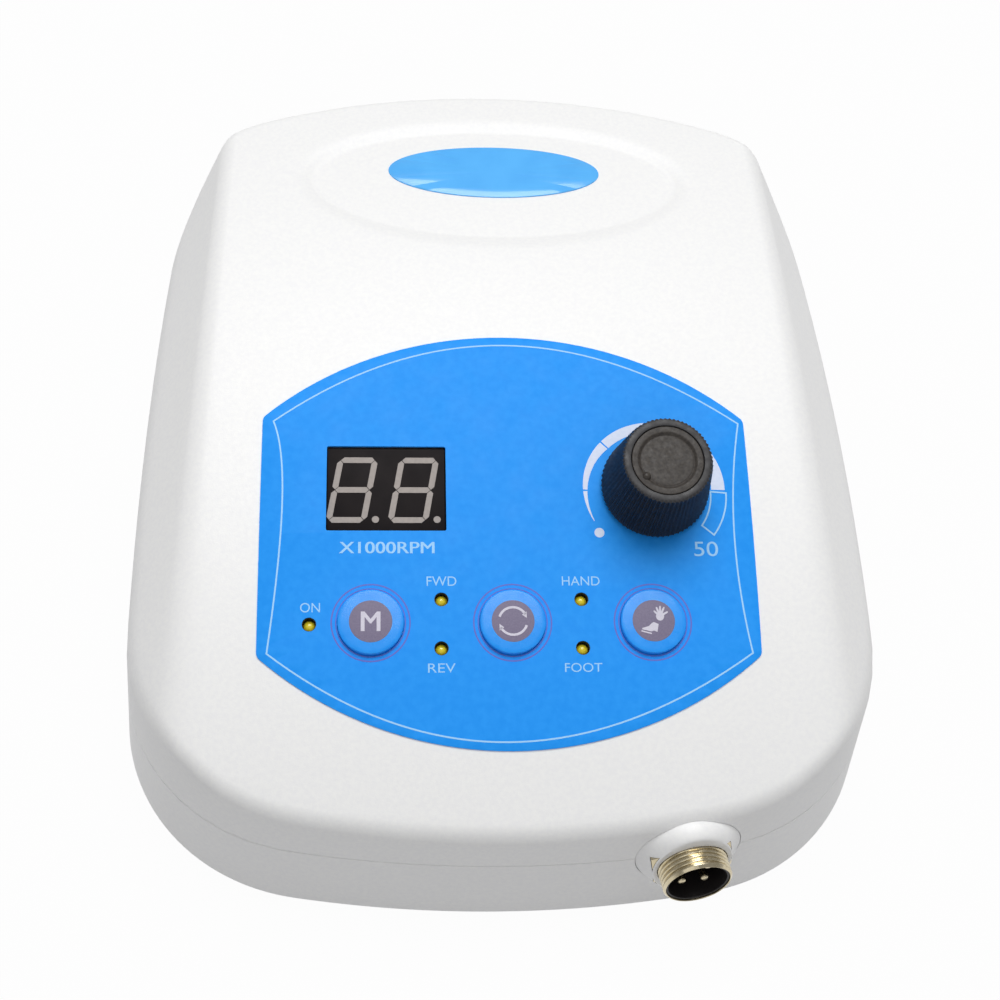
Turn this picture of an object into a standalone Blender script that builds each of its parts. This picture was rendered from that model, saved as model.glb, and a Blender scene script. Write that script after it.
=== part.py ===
"""Control unit of a dental laboratory micromotor, modelled for Blender 4.5.

All lengths are in metres. The unit stands on the ground plane, its front faces -Y and the
origin lies on the ground under the middle of its overall box. Inside this file most
places are given in the body's own frame: X from the plane of symmetry, Y from the foot
of the front wall towards the rear, Z from the underside of the lower housing. Places on
the sloping panel are given as (u, v): u across, v up the slope from the display row.
"""

import math

import bmesh
import bpy
import numpy as np
from mathutils import Matrix, Vector

# Body form, read from the plan outline of the base and the profile of the top
BODY_LENGTH = 0.1920
HALF_WIDTH = 0.08435
WIDEST_Y_SHARE = 0.4151
WIDEST_Y = WIDEST_Y_SHARE * BODY_LENGTH
SIDE_RADIUS = 1.260
FRONT_RADIUS = 0.271
FRONT_CORNER_RADIUS = 0.0464
REAR_RADIUS = 0.152
REAR_CORNER_RADIUS = 0.0406
WALL_DRAFT = math.radians(6.67)
PANEL_RADIUS = 0.3803
CREST_Y_SHARE = 0.8766
CREST_Y = CREST_Y_SHARE * BODY_LENGTH
CREST_HEIGHT = 0.0685
EDGE_RADIUS = 0.0023
INNER_EDGE_RADIUS = 0.0008
BASE_CHAMFER = 0.0010

# Flank: the sloping facet between the panel's side crease and the wall
CREASE_HALF_WIDTH_SHARE = 0.8228
CREASE_HALF_WIDTH = CREASE_HALF_WIDTH_SHARE * HALF_WIDTH
CREASE_START_Y = 0.015
CREASE_TAPER_SHARE = 0.0543
CREASE_BEND_RADIUS = 5.0
FLANK_ANGLE = math.radians(40.7)
FLANK_MIDDLE_Y = 0.085
FLANK_TWIST_LENGTH = 0.465

# Mouldings
WALL = 0.0025
FLOOR = 0.0025
PARTING_HEIGHT = 0.0200
GAP = 0.0003
TRIM_SHARE = 0.4
FORM_SECTORS = 72
UPPER_RINGS = 9
INNER_RINGS = 6
CUT_OVERRUN = 0.004
CAP_MARGIN = 0.004
BEND_LENGTH = 0.020
DOME_ELEVATION = math.radians(86.0)
DOME_SAMPLES = 240
BISECTIONS = 32

# Feet
FOOT_RADIUS = 0.0070
FOOT_HEIGHT = 0.0030
FOOT_POCKET = 0.0008
FRONT_FOOT_X_SHARE = 0.5928
FRONT_FOOT_X = FRONT_FOOT_X_SHARE * HALF_WIDTH
FRONT_FOOT_Y = 0.020
REAR_FOOT_X_SHARE = 0.6165
REAR_FOOT_X = REAR_FOOT_X_SHARE * HALF_WIDTH
REAR_FOOT_INSET = 0.022

# Case screws and their bosses
BOSS_RADIUS = 0.0045
FRONT_BOSS_X_SHARE = 0.7350
FRONT_BOSS_X = FRONT_BOSS_X_SHARE * HALF_WIDTH
FRONT_BOSS_Y_SHARE = 0.1875
FRONT_BOSS_Y = FRONT_BOSS_Y_SHARE * BODY_LENGTH
REAR_BOSS_X_SHARE = 0.7587
REAR_BOSS_X = REAR_BOSS_X_SHARE * HALF_WIDTH
REAR_BOSS_INSET_SHARE = 0.2188
REAR_BOSS_INSET = REAR_BOSS_INSET_SHARE * BODY_LENGTH
CASE_SCREW_RADIUS = 0.0017
CASE_SCREW_HEAD_RADIUS = 0.0032
CASE_SCREW_HEAD_HEIGHT = 0.0022
CASE_SCREW_LENGTH = 0.0260
CASE_HEAD_DEPTH = 0.0080

# Ventilation slots in the floor
VENT_WIDTH = 0.0024
VENT_LENGTH = 0.026
VENT_PITCH = 0.0060
VENT_COUNT = 5
VENT_ROW_X_SHARE = 0.3557
VENT_ROW_X = VENT_ROW_X_SHARE * HALF_WIDTH
VENT_Y_SHARE = 0.3021
VENT_Y = VENT_Y_SHARE * BODY_LENGTH

# Printed overlay on the panel
DISPLAY_ROW_Y_SHARE = 0.3729
DISPLAY_ROW_Y = DISPLAY_ROW_Y_SHARE * BODY_LENGTH
OVERLAY_HALF_WIDTH_SHARE = 0.6141
OVERLAY_HALF_WIDTH = OVERLAY_HALF_WIDTH_SHARE * HALF_WIDTH
OVERLAY_TOP_CORNER = 0.0163
OVERLAY_BOTTOM_CORNER = 0.0360
OVERLAY_TOP = 0.0367
OVERLAY_BOTTOM = 0.0553
OVERLAY_THICKNESS = 0.0005
OVERLAY_SEAT = 0.0005
OVERLAY_ARC_STEPS = 14
SHEET_STRIP = 0.0100

# Dish in the rear of the panel, and the plate in it
DISH_HALF_WIDTH_SHARE = 0.5614
DISH_HALF_WIDTH = DISH_HALF_WIDTH_SHARE * HALF_WIDTH
DISH_HALF_LENGTH = 0.02165
DISH_EDGE = 0.0044
DISH_DEPTH = 0.0010
DISH_REAR_MARGIN = 0.0170
BADGE_HALF_WIDTH = 0.02505
BADGE_HALF_LENGTH = 0.0084
BADGE_OFFSET = 0.0036
BADGE_THICKNESS = 0.0006
BADGE_SEAT = 0.0004
OVAL_STEPS = 48

# Board behind the panel, on posts
BOARD_U = -0.0010
BOARD_V = -0.0130
BOARD_WIDTH_SHARE = 1.1381
BOARD_WIDTH = BOARD_WIDTH_SHARE * HALF_WIDTH
BOARD_LENGTH = 0.0560
BOARD_THICKNESS = 0.0016
BOARD_DEPTH = 0.0105
POST_RADIUS = 0.0030
POST_INSET = 0.0036
PEG_RADIUS = 0.0010
PEG_RISE = 0.0008

# Two-digit display
DISPLAY_U_SHARE = -0.3035
DISPLAY_U = DISPLAY_U_SHARE * HALF_WIDTH
DISPLAY_WIDTH = 0.0250
DISPLAY_HEIGHT = 0.0190
DISPLAY_SINK = 0.0009

# Push buttons
BUTTON_U = 0.0003
BUTTON_PITCH_SHARE = 0.3444
BUTTON_PITCH = BUTTON_PITCH_SHARE * HALF_WIDTH
BUTTON_V = -0.0290
BUTTON_RADIUS = 0.0068
BUTTON_RISE = 0.0016
BUTTON_CROWN = 0.0006
CROWN_SHARE = 0.3
BUTTON_FLANGE_RADIUS = 0.0082
BUTTON_FLANGE = 0.0008
SEAT_CLEARANCE = 0.0008
BUTTON_SKIN = 0.0014
BUTTON_TRAVEL = 0.0005
ICON_RADIUS = 0.0044
ICON_LENGTH = 0.0036
STEM_RADIUS = 0.0017
STEM_ENTRY = 0.0010
SWITCH_SIDE = 0.0060
SWITCH_HEIGHT = 0.0035
SWITCH_FLOOR = 0.0010

# Indicator lamps
LAMP_RADIUS = 0.0013
LAMP_SINK = 0.0004
LAMP_BODY_LENGTH = 0.0045
LAMP_FLANGE_RADIUS = 0.0019
LAMP_FLANGE = 0.0010
LAMP_SPACER_RADIUS = 0.0015
LAMP_DOME = 0.0004
LAMP_PLACES = {
    "on": (-0.4890 * HALF_WIDTH, -0.0294),
    "forward": (-0.1694 * HALF_WIDTH, -0.0242),
    "reverse": (-0.1701 * HALF_WIDTH, -0.0344),
    "hand": (0.1737 * HALF_WIDTH, -0.0242),
    "foot": (0.1737 * HALF_WIDTH, -0.0344),
}

# Speed control
KNOB_U_SHARE = 0.3699
KNOB_U = KNOB_U_SHARE * HALF_WIDTH
KNOB_V = 0.0004
KNOB_CLEARANCE = 0.0010
KNOB_BASE_RADIUS = 0.0116
KNOB_TOP_RADIUS = 0.0091
KNOB_HEIGHT = 0.0155
KNOB_RIBS = 64
KNOB_RIB_DEPTH = 0.0004
KNOB_RIM = 0.0012
KNOB_POCKET_RADIUS = 0.0082
CAP_RADIUS = 0.0074
CAP_THICKNESS = 0.0014
CAP_DISH_RADIUS = 0.0059
CAP_DISH_DEPTH = 0.0004
CAP_RECESS = 0.0002
POINTER_RADIUS = 0.0009
POINTER_REACH = 0.0058
POINTER_ANGLE = math.radians(217.0)
SHAFT_RADIUS = 0.0030
SHAFT_ABOVE = 0.0125
SHAFT_IN_BODY = 0.0022
BUSHING_RADIUS = 0.0041
BUSHING_ABOVE = 0.0042
BUSHING_FLANGE_RADIUS = 0.0070
BUSHING_FLANGE = 0.0008
POT_RADIUS = 0.0082
NUT_HALF_FLATS = 0.0056
NUT_THICKNESS = 0.0020

# Handpiece socket in the front wall
SOCKET_X_SHARE = 0.4375
SOCKET_X = SOCKET_X_SHARE * HALF_WIDTH
SOCKET_ABOVE_PARTING = 0.0003
COLLAR_RADIUS = 0.0112
COLLAR_RISE = 0.0012
COLLAR_DEPTH = 0.0050
COLLAR_ROUND = 0.0016
SOCKET_RADIUS = 0.0073
SOCKET_REACH = 0.0076
SOCKET_BORE_RADIUS = 0.0063
SOCKET_FLANGE_RADIUS = 0.0095
SOCKET_FLANGE = 0.0016
THREAD_PITCH = 0.0010
THREAD_DEPTH = 0.0004
THREAD_TURNS = 4
SOCKET_NUT_HALF_FLATS = 0.0083
SOCKET_NUT_THICKNESS = 0.0020
SOCKET_NUT_TURN = math.radians(0.0)
INSULATOR_SINK = 0.0096
INSULATOR_LENGTH = 0.0055
PIN_RADIUS = 0.0010
PIN_CIRCLE_RADIUS = 0.0034
PIN_REACH = 0.0046
PIN_TAIL = 0.0030
PIN_COUNT = 4

# Rear plate and the pocket that it closes
PLATE_HALF_WIDTH = 0.0480
PLATE_LOW = 0.0240
PLATE_HIGH = 0.0560
PLATE_THICKNESS = 0.0025
PLATE_INSET = 0.0155
PLATE_LEDGE = 0.0045
PLATE_LEDGE_DEPTH = 0.0050
SMALL_SCREW_RADIUS = 0.0010
SMALL_SCREW_HEAD_RADIUS = 0.0019
SMALL_SCREW_HEAD_HEIGHT = 0.0014
SMALL_SCREW_LENGTH = 0.0060

# Rocker switch in the rear plate
SWITCH_X = 0.0345
BEZEL_WIDTH = 0.0150
BEZEL_HEIGHT = 0.0210
BEZEL_THICKNESS = 0.0020
SWITCH_BODY_WIDTH = 0.0130
SWITCH_BODY_HEIGHT = 0.0190
SWITCH_BODY_DEPTH = 0.0140
ROCKER_WIDTH = 0.0098
ROCKER_RADIUS = 0.0078
ROCKER_CAVITY_DEPTH = 0.0066
ROCKER_PIVOT_DEPTH = 0.0015
ROCKER_THICKNESS = 0.0042
ROCKER_TILT = math.radians(9.0)
ROCKER_ARC_STEPS = 4
ROCKER_DIP_SHARE = 0.3
PIVOT_RADIUS = 0.0010
PIVOT_LENGTH = 0.0008

# Mains inlet in the rear plate
INLET_X = 0.0085
INLET_FLANGE_WIDTH = 0.0310
INLET_FLANGE_HEIGHT = 0.0240
INLET_FLANGE = 0.0022
INLET_BODY_WIDTH = 0.0276
INLET_BODY_HEIGHT = 0.0200
INLET_BODY_DEPTH = 0.0170
INLET_CAVITY_WIDTH = 0.0240
INLET_CAVITY_HEIGHT = 0.0164
INLET_FLOOR = 0.0030
INLET_CORNER_SHARE = 0.3
BLADE_WIDTH = 0.0020
BLADE_HEIGHT = 0.0040
BLADE_PITCH = 0.0070
BLADE_RAISE = 0.0018
BLADE_SINK = 0.0050
BLADE_TAIL = 0.0055

# Fuse holder in the rear plate
FUSE_X = -0.0165
FUSE_BODY_RADIUS = 0.0060
FUSE_BODY_LENGTH = 0.0240
FUSE_FLANGE_RADIUS = 0.0078
FUSE_FLANGE = 0.0018
FUSE_BORE_RADIUS = 0.0041
FUSE_CAP_RADIUS = 0.0062
FUSE_CAP_HEIGHT = 0.0045
FUSE_CAP_RIBS = 16
FUSE_CAP_RIB_DEPTH = 0.0004
FUSE_CARRIER_RADIUS = 0.0035
FUSE_CARRIER_LENGTH = 0.0180
FUSE_SLOT_WIDTH = 0.0014
FUSE_SLOT_DEPTH = 0.0010

# Foot control socket in the rear plate
FOOT_SOCKET_X = -0.0355
FOOT_SOCKET_RADIUS = 0.0057
FOOT_SOCKET_BORE_RADIUS = 0.0048
FOOT_SOCKET_REACH = 0.0066
FOOT_SOCKET_DEPTH = 0.0070
FOOT_SOCKET_FLANGE_RADIUS = 0.0074
FOOT_NUT_HALF_FLATS = 0.0070
FOOT_NUT_THICKNESS = 0.0018
FOOT_INSULATOR_SINK = 0.0080
FOOT_PIN_RADIUS = 0.0008
FOOT_PIN_CIRCLE_RADIUS = 0.0026
FOOT_PIN_REACH = 0.0030
FOOT_PIN_COUNT = 3

# Mains transformer
CORE_X_SHARE = -0.4268
CORE_X = CORE_X_SHARE * HALF_WIDTH
CORE_Y_SHARE = 0.5469
CORE_Y = CORE_Y_SHARE * BODY_LENGTH
CORE_WIDTH_SHARE = 0.6758
CORE_WIDTH = CORE_WIDTH_SHARE * HALF_WIDTH
CORE_STACK = 0.0260
CORE_HEIGHT = 0.0470
CORE_LEG = 0.0095
CORE_MIDDLE_LEG = 0.0190
COIL_DEPTH = 0.0420
STRAP_THICKNESS = 0.0012
STRAP_WIDTH = 0.0180
STRAP_FOOT = 0.0095
STRAP_PEG_RADIUS = 0.0020
STRAP_PEG_X = CORE_WIDTH / 2 + GAP + STRAP_THICKNESS + STRAP_FOOT / 2

# Main board and what it carries
MAIN_BOARD_X_SHARE = 0.4742
MAIN_BOARD_X = MAIN_BOARD_X_SHARE * HALF_WIDTH
MAIN_BOARD_Y_SHARE = 0.4792
MAIN_BOARD_Y = MAIN_BOARD_Y_SHARE * BODY_LENGTH
MAIN_BOARD_WIDTH_SHARE = 0.7587
MAIN_BOARD_WIDTH = MAIN_BOARD_WIDTH_SHARE * HALF_WIDTH
MAIN_BOARD_LENGTH_SHARE = 0.4792
MAIN_BOARD_LENGTH = MAIN_BOARD_LENGTH_SHARE * BODY_LENGTH
MAIN_BOARD_HEIGHT = 0.0090
HEATSINK_LENGTH_SHARE = 0.6087
HEATSINK_LENGTH = HEATSINK_LENGTH_SHARE * MAIN_BOARD_LENGTH
HEATSINK_HEIGHT = 0.0260
HEATSINK_BASE = 0.0040
FIN_COUNT = 6
FIN_THICKNESS = 0.0016
FIN_DEPTH = 0.0110
HEATSINK_INSET = 0.0015
TRANSISTOR_WIDTH = 0.0100
TRANSISTOR_THICKNESS = 0.0045
TRANSISTOR_HEIGHT = 0.0155
CAPACITOR_RADIUS = 0.0080
CAPACITOR_HEIGHT = 0.0220
CAPACITOR_U_SHARE = -0.3594
CAPACITOR_U = CAPACITOR_U_SHARE * MAIN_BOARD_WIDTH
CAPACITOR_V_SHARE = -0.1957
CAPACITOR_V = CAPACITOR_V_SHARE * MAIN_BOARD_LENGTH
RELAY_WIDTH = 0.0155
RELAY_LENGTH = 0.0200
RELAY_HEIGHT = 0.0150
RELAY_U_SHARE = -0.3125
RELAY_U = RELAY_U_SHARE * MAIN_BOARD_WIDTH
RELAY_V_SHARE = 0.1739
RELAY_V = RELAY_V_SHARE * MAIN_BOARD_LENGTH
CHIP_WIDTH = 0.0075
CHIP_LENGTH = 0.0350
CHIP_HEIGHT = 0.0036
CHIP_U = 0.0010
CHIP_V = -0.0020
PLUG_WIDTH = 0.0100
PLUG_LENGTH = 0.0058
PLUG_HEIGHT = 0.0070
MOTOR_PLUG_U_SHARE = 0.1406
MOTOR_PLUG_U = MOTOR_PLUG_U_SHARE * MAIN_BOARD_WIDTH
PANEL_PLUG_U_SHARE = -0.1406
PANEL_PLUG_U = PANEL_PLUG_U_SHARE * MAIN_BOARD_WIDTH
PLUG_V_SHARE = -0.4457
PLUG_V = PLUG_V_SHARE * MAIN_BOARD_LENGTH

# Leads that the housing holds
LEAD_RADIUS = 0.0022
RIBBON_WIDTH = 0.0090
RIBBON_THICKNESS = 0.0008
RIBBON_STEPS = 10
LEAD_STEPS = 12
RIBBON_V = 0.0060
HANDLE_SHARE = 0.45

# Facets
FINE_SIDES = 32
ROUND_SIDES = 24
SMALL_SIDES = 12
MERGE = 0.000001

SMOOTH_ANGLE = math.radians(35.0)
UNIT_NAME = "dental_micromotor_control_unit"

MATERIALS = {
    "white_abs": ((0.90, 0.90, 0.89), 0.45, 0.0, 1.0),
    "blue_print": ((0.05, 0.34, 0.86), 0.35, 0.0, 1.0),
    "clear_silicone": ((0.20, 0.50, 0.95), 0.15, 0.0, 0.45),
    "grey_plastic": ((0.42, 0.38, 0.48), 0.50, 0.0, 1.0),
    "display_black": ((0.03, 0.02, 0.02), 0.35, 0.0, 1.0),
    "lamp_yellow": ((0.75, 0.66, 0.10), 0.25, 0.0, 1.0),
    "black_plastic": ((0.04, 0.04, 0.04), 0.50, 0.0, 1.0),
    "nickel": ((0.72, 0.68, 0.60), 0.25, 1.0, 1.0),
    "steel": ((0.62, 0.62, 0.63), 0.30, 1.0, 1.0),
    "aluminium": ((0.75, 0.76, 0.78), 0.35, 1.0, 1.0),
    "laminate": ((0.42, 0.42, 0.44), 0.55, 1.0, 1.0),
    "winding_tape": ((0.80, 0.62, 0.15), 0.50, 0.0, 1.0),
    "circuit_green": ((0.05, 0.26, 0.11), 0.45, 0.0, 1.0),
    "grey_rubber": ((0.16, 0.16, 0.17), 0.85, 0.0, 1.0),
    "lead_grey": ((0.35, 0.35, 0.37), 0.60, 0.0, 1.0),
}


def clear_scene():
    for old in list(bpy.data.objects):
        bpy.data.objects.remove(old)


def new_collection(name):
    collection = bpy.data.collections.new(name)
    bpy.context.scene.collection.children.link(collection)
    return collection


def new_material(name):
    color, roughness, metallic, alpha = MATERIALS[name]
    material = bpy.data.materials.new(name)
    material.use_nodes = True
    shader = material.node_tree.nodes["Principled BSDF"]
    shader.inputs["Base Color"].default_value = (*color, 1.0)
    shader.inputs["Roughness"].default_value = roughness
    shader.inputs["Metallic"].default_value = metallic
    shader.inputs["Alpha"].default_value = alpha
    material.diffuse_color = (*color, alpha)
    return material


# Placing and making objects

clear_scene()
PARTS = new_collection(UNIT_NAME)
CUTTERS = new_collection("cutters")
FINISHES = {name: new_material(name) for name in MATERIALS}
UNIT = bpy.data.objects.new("unit_frame", None)
PARTS.objects.link(UNIT)


def add_object(name, mesh, material, frame=None):
    """Add a named piece of the unit, placed in the body's frame."""
    piece = bpy.data.objects.new(name, mesh)
    piece.parent = UNIT
    if frame is not None:
        piece.location = frame.to_translation()
        piece.rotation_euler = frame.to_euler()
    mesh.materials.append(FINISHES[material])
    PARTS.objects.link(piece)
    return piece


def add_cutter(name, mesh, frame=None):
    """Add a tool object that shapes the pieces and is not one itself."""
    tool = bpy.data.objects.new(name, mesh)
    tool.parent = UNIT
    if frame is not None:
        tool.location = frame.to_translation()
        tool.rotation_euler = frame.to_euler()
    tool.hide_render = True
    tool.display_type = "WIRE"
    CUTTERS.objects.link(tool)
    return tool


def finish_mesh(bm, name, smooth_angle=None):
    """Turn a bmesh into a mesh with its faces pointing out."""
    bmesh.ops.recalc_face_normals(bm, faces=bm.faces)
    mesh = bpy.data.meshes.new(name)
    bm.to_mesh(mesh)
    bm.free()
    if smooth_angle is not None:
        mesh.shade_smooth()
        mesh.set_sharp_from_angle(angle=smooth_angle)
    return mesh


def boolean(piece, operation, tool):
    cut = piece.modifiers.new(operation.lower() + "_" + tool.name, "BOOLEAN")
    cut.operation = operation
    cut.object = tool
    cut.solver = "EXACT"
    return cut


# Simple solids, added to a bmesh

def add_block(bm, low, high, frame=Matrix()):
    low, high = Vector(low), Vector(high)
    place = Matrix.Translation((low + high) / 2) @ Matrix.Diagonal((*(high - low), 1.0))
    bmesh.ops.create_cube(bm, size=1.0, matrix=frame @ place)


def add_centred_block(bm, width, length, bottom, top, frame=Matrix()):
    add_block(bm, (-width / 2, -length / 2, bottom), (width / 2, length / 2, top), frame)


def add_cylinder(bm, radius, bottom, top, frame=Matrix(), sides=ROUND_SIDES, top_radius=None):
    place = frame @ Matrix.Translation((0, 0, (bottom + top) / 2))
    bmesh.ops.create_cone(bm, cap_ends=True, segments=sides, radius1=radius,
                          radius2=radius if top_radius is None else top_radius,
                          depth=top - bottom, matrix=place)


def add_hexagon(bm, half_flats, bottom, top, frame=Matrix()):
    add_cylinder(bm, half_flats / math.cos(math.pi / 6), bottom, top, frame, sides=6)


def add_turned(bm, profile, frame=Matrix(), sides=SMALL_SIDES):
    """Add a turned solid from a (radius, height) profile that starts and ends on its axis."""
    work = bmesh.new()
    verts = [work.verts.new((radius, 0, height)) for radius, height in profile]
    edges = [work.edges.new(pair) for pair in zip(verts, verts[1:])]
    bmesh.ops.spin(work, geom=verts + edges, cent=(0, 0, 0), axis=(0, 0, 1),
                   angle=2 * math.pi, steps=sides, use_merge=True)
    bmesh.ops.remove_doubles(work, verts=work.verts, dist=MERGE)
    work.transform(frame)
    append_mesh(bm, work)


def append_mesh(bm, work):
    mesh = bpy.data.meshes.new("work")
    work.to_mesh(mesh)
    work.free()
    bm.from_mesh(mesh)
    bpy.data.meshes.remove(mesh)


def add_prism(bm, outline, bottom, top, frame=Matrix()):
    """Add a flat outline, drawn on X and Y, raised from bottom to top."""
    work = bmesh.new()
    face = work.faces.new([work.verts.new((x, y, bottom)) for x, y in outline])
    raised = bmesh.ops.extrude_face_region(work, geom=[face])["geom"]
    moved = [item for item in raised if isinstance(item, bmesh.types.BMVert)]
    bmesh.ops.translate(work, verts=moved, vec=(0, 0, top - bottom))
    work.transform(frame)
    append_mesh(bm, work)


def add_ribbed(bm, sections, ribs, frame=Matrix()):
    """Loft round sections (radius, height, rib depth) that share their ribs."""
    rings = []
    for radius, height, depth in sections:
        ring = []
        for step in range(2 * ribs):
            angle = math.pi * step / ribs
            reach = radius - depth * (step % 2)
            place = Vector((reach * math.cos(angle), reach * math.sin(angle), height))
            ring.append(bm.verts.new(frame @ place))
        rings.append(ring)
    for low, high in zip(rings, rings[1:]):
        bridge_rings(bm, low, high)
    bm.faces.new(rings[0][::-1])
    bm.faces.new(rings[-1])


def bridge_rings(bm, low, high):
    for a, b in zip(range(len(low)), [*range(1, len(low)), 0]):
        bm.faces.new((low[a], low[b], high[b], high[a]))


def turned_object(name, profile, material, frame=None, sides=ROUND_SIDES, closed=False):
    """A turned piece: the profile runs down its outer side and a Screw turns it."""
    mesh = bpy.data.meshes.new(name)
    edges = [(i, i + 1) for i in range(len(profile) - 1)]
    if closed:
        edges.append((len(profile) - 1, 0))
    mesh.from_pydata([(radius, 0, height) for radius, height in profile], edges, [])
    piece = add_object(name, mesh, material, frame)
    turn = piece.modifiers.new("turn", "SCREW")
    turn.axis = "Z"
    turn.steps = sides
    turn.render_steps = sides
    turn.use_merge_vertices = True
    turn.merge_threshold = MERGE
    turn.use_smooth_shade = False
    return piece


def solid_object(name, bm, material, frame=None):
    return add_object(name, finish_mesh(bm, name, SMOOTH_ANGLE), material, frame)


def solid_cutter(name, bm, frame=None):
    return add_cutter(name, finish_mesh(bm, name), frame)


# Body form: signed gaps to its surfaces, negative inside

SECTOR_ANGLES = (np.arange(FORM_SECTORS) + 0.5) * 2 * math.pi / FORM_SECTORS
PANEL_CENTRE_Z = CREST_HEIGHT - PANEL_RADIUS
FRONT_CENTRE = Vector((0, FRONT_RADIUS))
SIDE_CENTRE = Vector((HALF_WIDTH - SIDE_RADIUS, WIDEST_Y))
REAR_CENTRE = Vector((0, BODY_LENGTH - REAR_RADIUS))


def corner_centre(end_centre, end_radius, corner_radius):
    """Centre of the corner arc that touches an end arc and the side arc from inside."""
    end_reach = end_radius - corner_radius
    side_reach = SIDE_RADIUS - corner_radius
    line = SIDE_CENTRE - end_centre
    along = (end_reach ** 2 - side_reach ** 2 + line.length_squared) / (2 * line.length)
    across = math.sqrt(max(end_reach ** 2 - along ** 2, 0))
    unit = line.normalized()
    normal = Vector((-unit.y, unit.x)) * across
    middle = end_centre + unit * along
    return max(middle + normal, middle - normal, key=lambda place: place.x)


CORNERS = [
    (corner_centre(FRONT_CENTRE, FRONT_RADIUS, FRONT_CORNER_RADIUS), FRONT_CENTRE,
     FRONT_CORNER_RADIUS),
    (corner_centre(REAR_CENTRE, REAR_RADIUS, REAR_CORNER_RADIUS), REAR_CENTRE,
     REAR_CORNER_RADIUS),
]


def plan_gap(x, y):
    """Signed distance from the plan outline of the base."""
    x = np.abs(x)
    gap = np.hypot(x - FRONT_CENTRE.x, y - FRONT_CENTRE.y) - FRONT_RADIUS
    gap = np.maximum(gap, np.hypot(x - SIDE_CENTRE.x, y - SIDE_CENTRE.y) - SIDE_RADIUS)
    gap = np.maximum(gap, np.hypot(x - REAR_CENTRE.x, y - REAR_CENTRE.y) - REAR_RADIUS)
    for centre, end_centre, radius in CORNERS:
        bounds = [math.atan2(centre.y - far.y, centre.x - far.x)
                  for far in (end_centre, SIDE_CENTRE)]
        angle = np.arctan2(y - centre.y, x - centre.x)
        inside = (angle >= min(bounds)) & (angle <= max(bounds))
        gap = np.where(inside, np.hypot(x - centre.x, y - centre.y) - radius, gap)
    return gap


def wall_gap(x, y, z):
    return plan_gap(x, y) * math.cos(WALL_DRAFT) + z * math.sin(WALL_DRAFT)


def panel_height(y):
    return PANEL_CENTRE_Z + np.sqrt(np.maximum(PANEL_RADIUS ** 2 - (y - CREST_Y) ** 2, 0))


def panel_gap(y, z):
    return np.hypot(y - CREST_Y, z - PANEL_CENTRE_Z) - PANEL_RADIUS


def flank_gap(x, y, z):
    """Signed distance from the facet that falls from the panel's side crease."""
    back = y - CREASE_START_Y
    crease = CREASE_HALF_WIDTH - CREASE_TAPER_SHARE * back + back ** 2 / (2 * CREASE_BEND_RADIUS)
    angle = FLANK_ANGLE - (y - FLANK_MIDDLE_Y) / FLANK_TWIST_LENGTH
    reach = crease + (panel_height(y) - z) * np.tan(angle)
    return (np.abs(x) - reach) * np.cos(angle)


def form_gap(x, y, z, inset, edge):
    """Signed distance from the body form, shrunk by inset, with its edges rounded."""
    gaps = [wall_gap(x, y, z) + inset, panel_gap(y, z) + inset, flank_gap(x, y, z) + inset]
    past = np.sqrt(sum(np.maximum(gap + edge, 0) ** 2 for gap in gaps))
    return np.minimum(np.maximum.reduce(gaps), -edge) + past


def form_points(height, elevations, inset, edge):
    """Points of the form on rays from the middle at a height, one row per sector."""
    turn, rise = np.meshgrid(SECTOR_ANGLES, elevations, indexing="ij")
    across = np.cos(turn) * np.cos(rise)
    along = np.sin(turn) * np.cos(rise)
    up = np.sin(rise)
    middle = BODY_LENGTH / 2
    near, far = np.zeros(turn.shape), np.full(turn.shape, BODY_LENGTH)
    for _ in range(BISECTIONS):
        trial = (near + far) / 2
        outside = form_gap(across * trial, middle + along * trial, height + up * trial,
                           inset, edge) > 0
        near, far = np.where(outside, near, trial), np.where(outside, trial, far)
    return np.stack([across * near, middle + along * near, height + up * near], -1)


def level_ring(height, inset):
    return form_points(height, [0], inset, 0)[:, 0]


def dome_rings(height, inset, edge, count):
    """Rings from a level up to where only the panel is left, close where the form bends."""
    rows = form_points(height, np.linspace(0, DOME_ELEVATION, DOME_SAMPLES), inset, edge)
    rings = []
    for row in rows:
        x, y, z = row.T
        side = np.maximum(wall_gap(x, y, z), flank_gap(x, y, z)) + inset
        stop = np.argmax(side < -(edge + CAP_MARGIN)) + 1
        row = row[:stop]
        steps = np.diff(row, axis=0)
        lengths = np.linalg.norm(steps, axis=1)
        units = steps / lengths[:, None]
        turns = np.arccos(np.clip(np.sum(units[1:] * units[:-1], axis=1), -1, 1))
        weights = lengths.copy()
        weights[1:] += BEND_LENGTH * turns
        along = np.concatenate([[0], np.cumsum(weights)])
        wanted = np.linspace(0, along[-1], count)
        rings.append([np.interp(wanted, along, row[:, axis]) for axis in range(3)])
    return list(np.array(rings).transpose(2, 0, 1))


def add_ring(bm, points):
    return [bm.verts.new(Vector(point)) for point in points]


def close_ring(bm, ring):
    """Close a ring with strips between its left and right points."""
    count = len(ring)
    quarter = count // 4
    right = [*range(count - quarter, count), *range(quarter)]
    mirrored = [(count // 2 - 1 - index) % count for index in right]
    for step in range(len(right) - 1):
        bm.faces.new((ring[right[step]], ring[right[step + 1]],
                      ring[mirrored[step + 1]], ring[mirrored[step]]))


def add_loft(bm, rings):
    made = [add_ring(bm, ring) for ring in rings]
    for low, high in zip(made, made[1:]):
        bridge_rings(bm, low, high)
    close_ring(bm, made[0])
    close_ring(bm, made[-1])


# Places on the sloping panel

def panel_angle(v):
    return math.asin((CREST_Y - DISPLAY_ROW_Y) / PANEL_RADIUS) - v / PANEL_RADIUS


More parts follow.
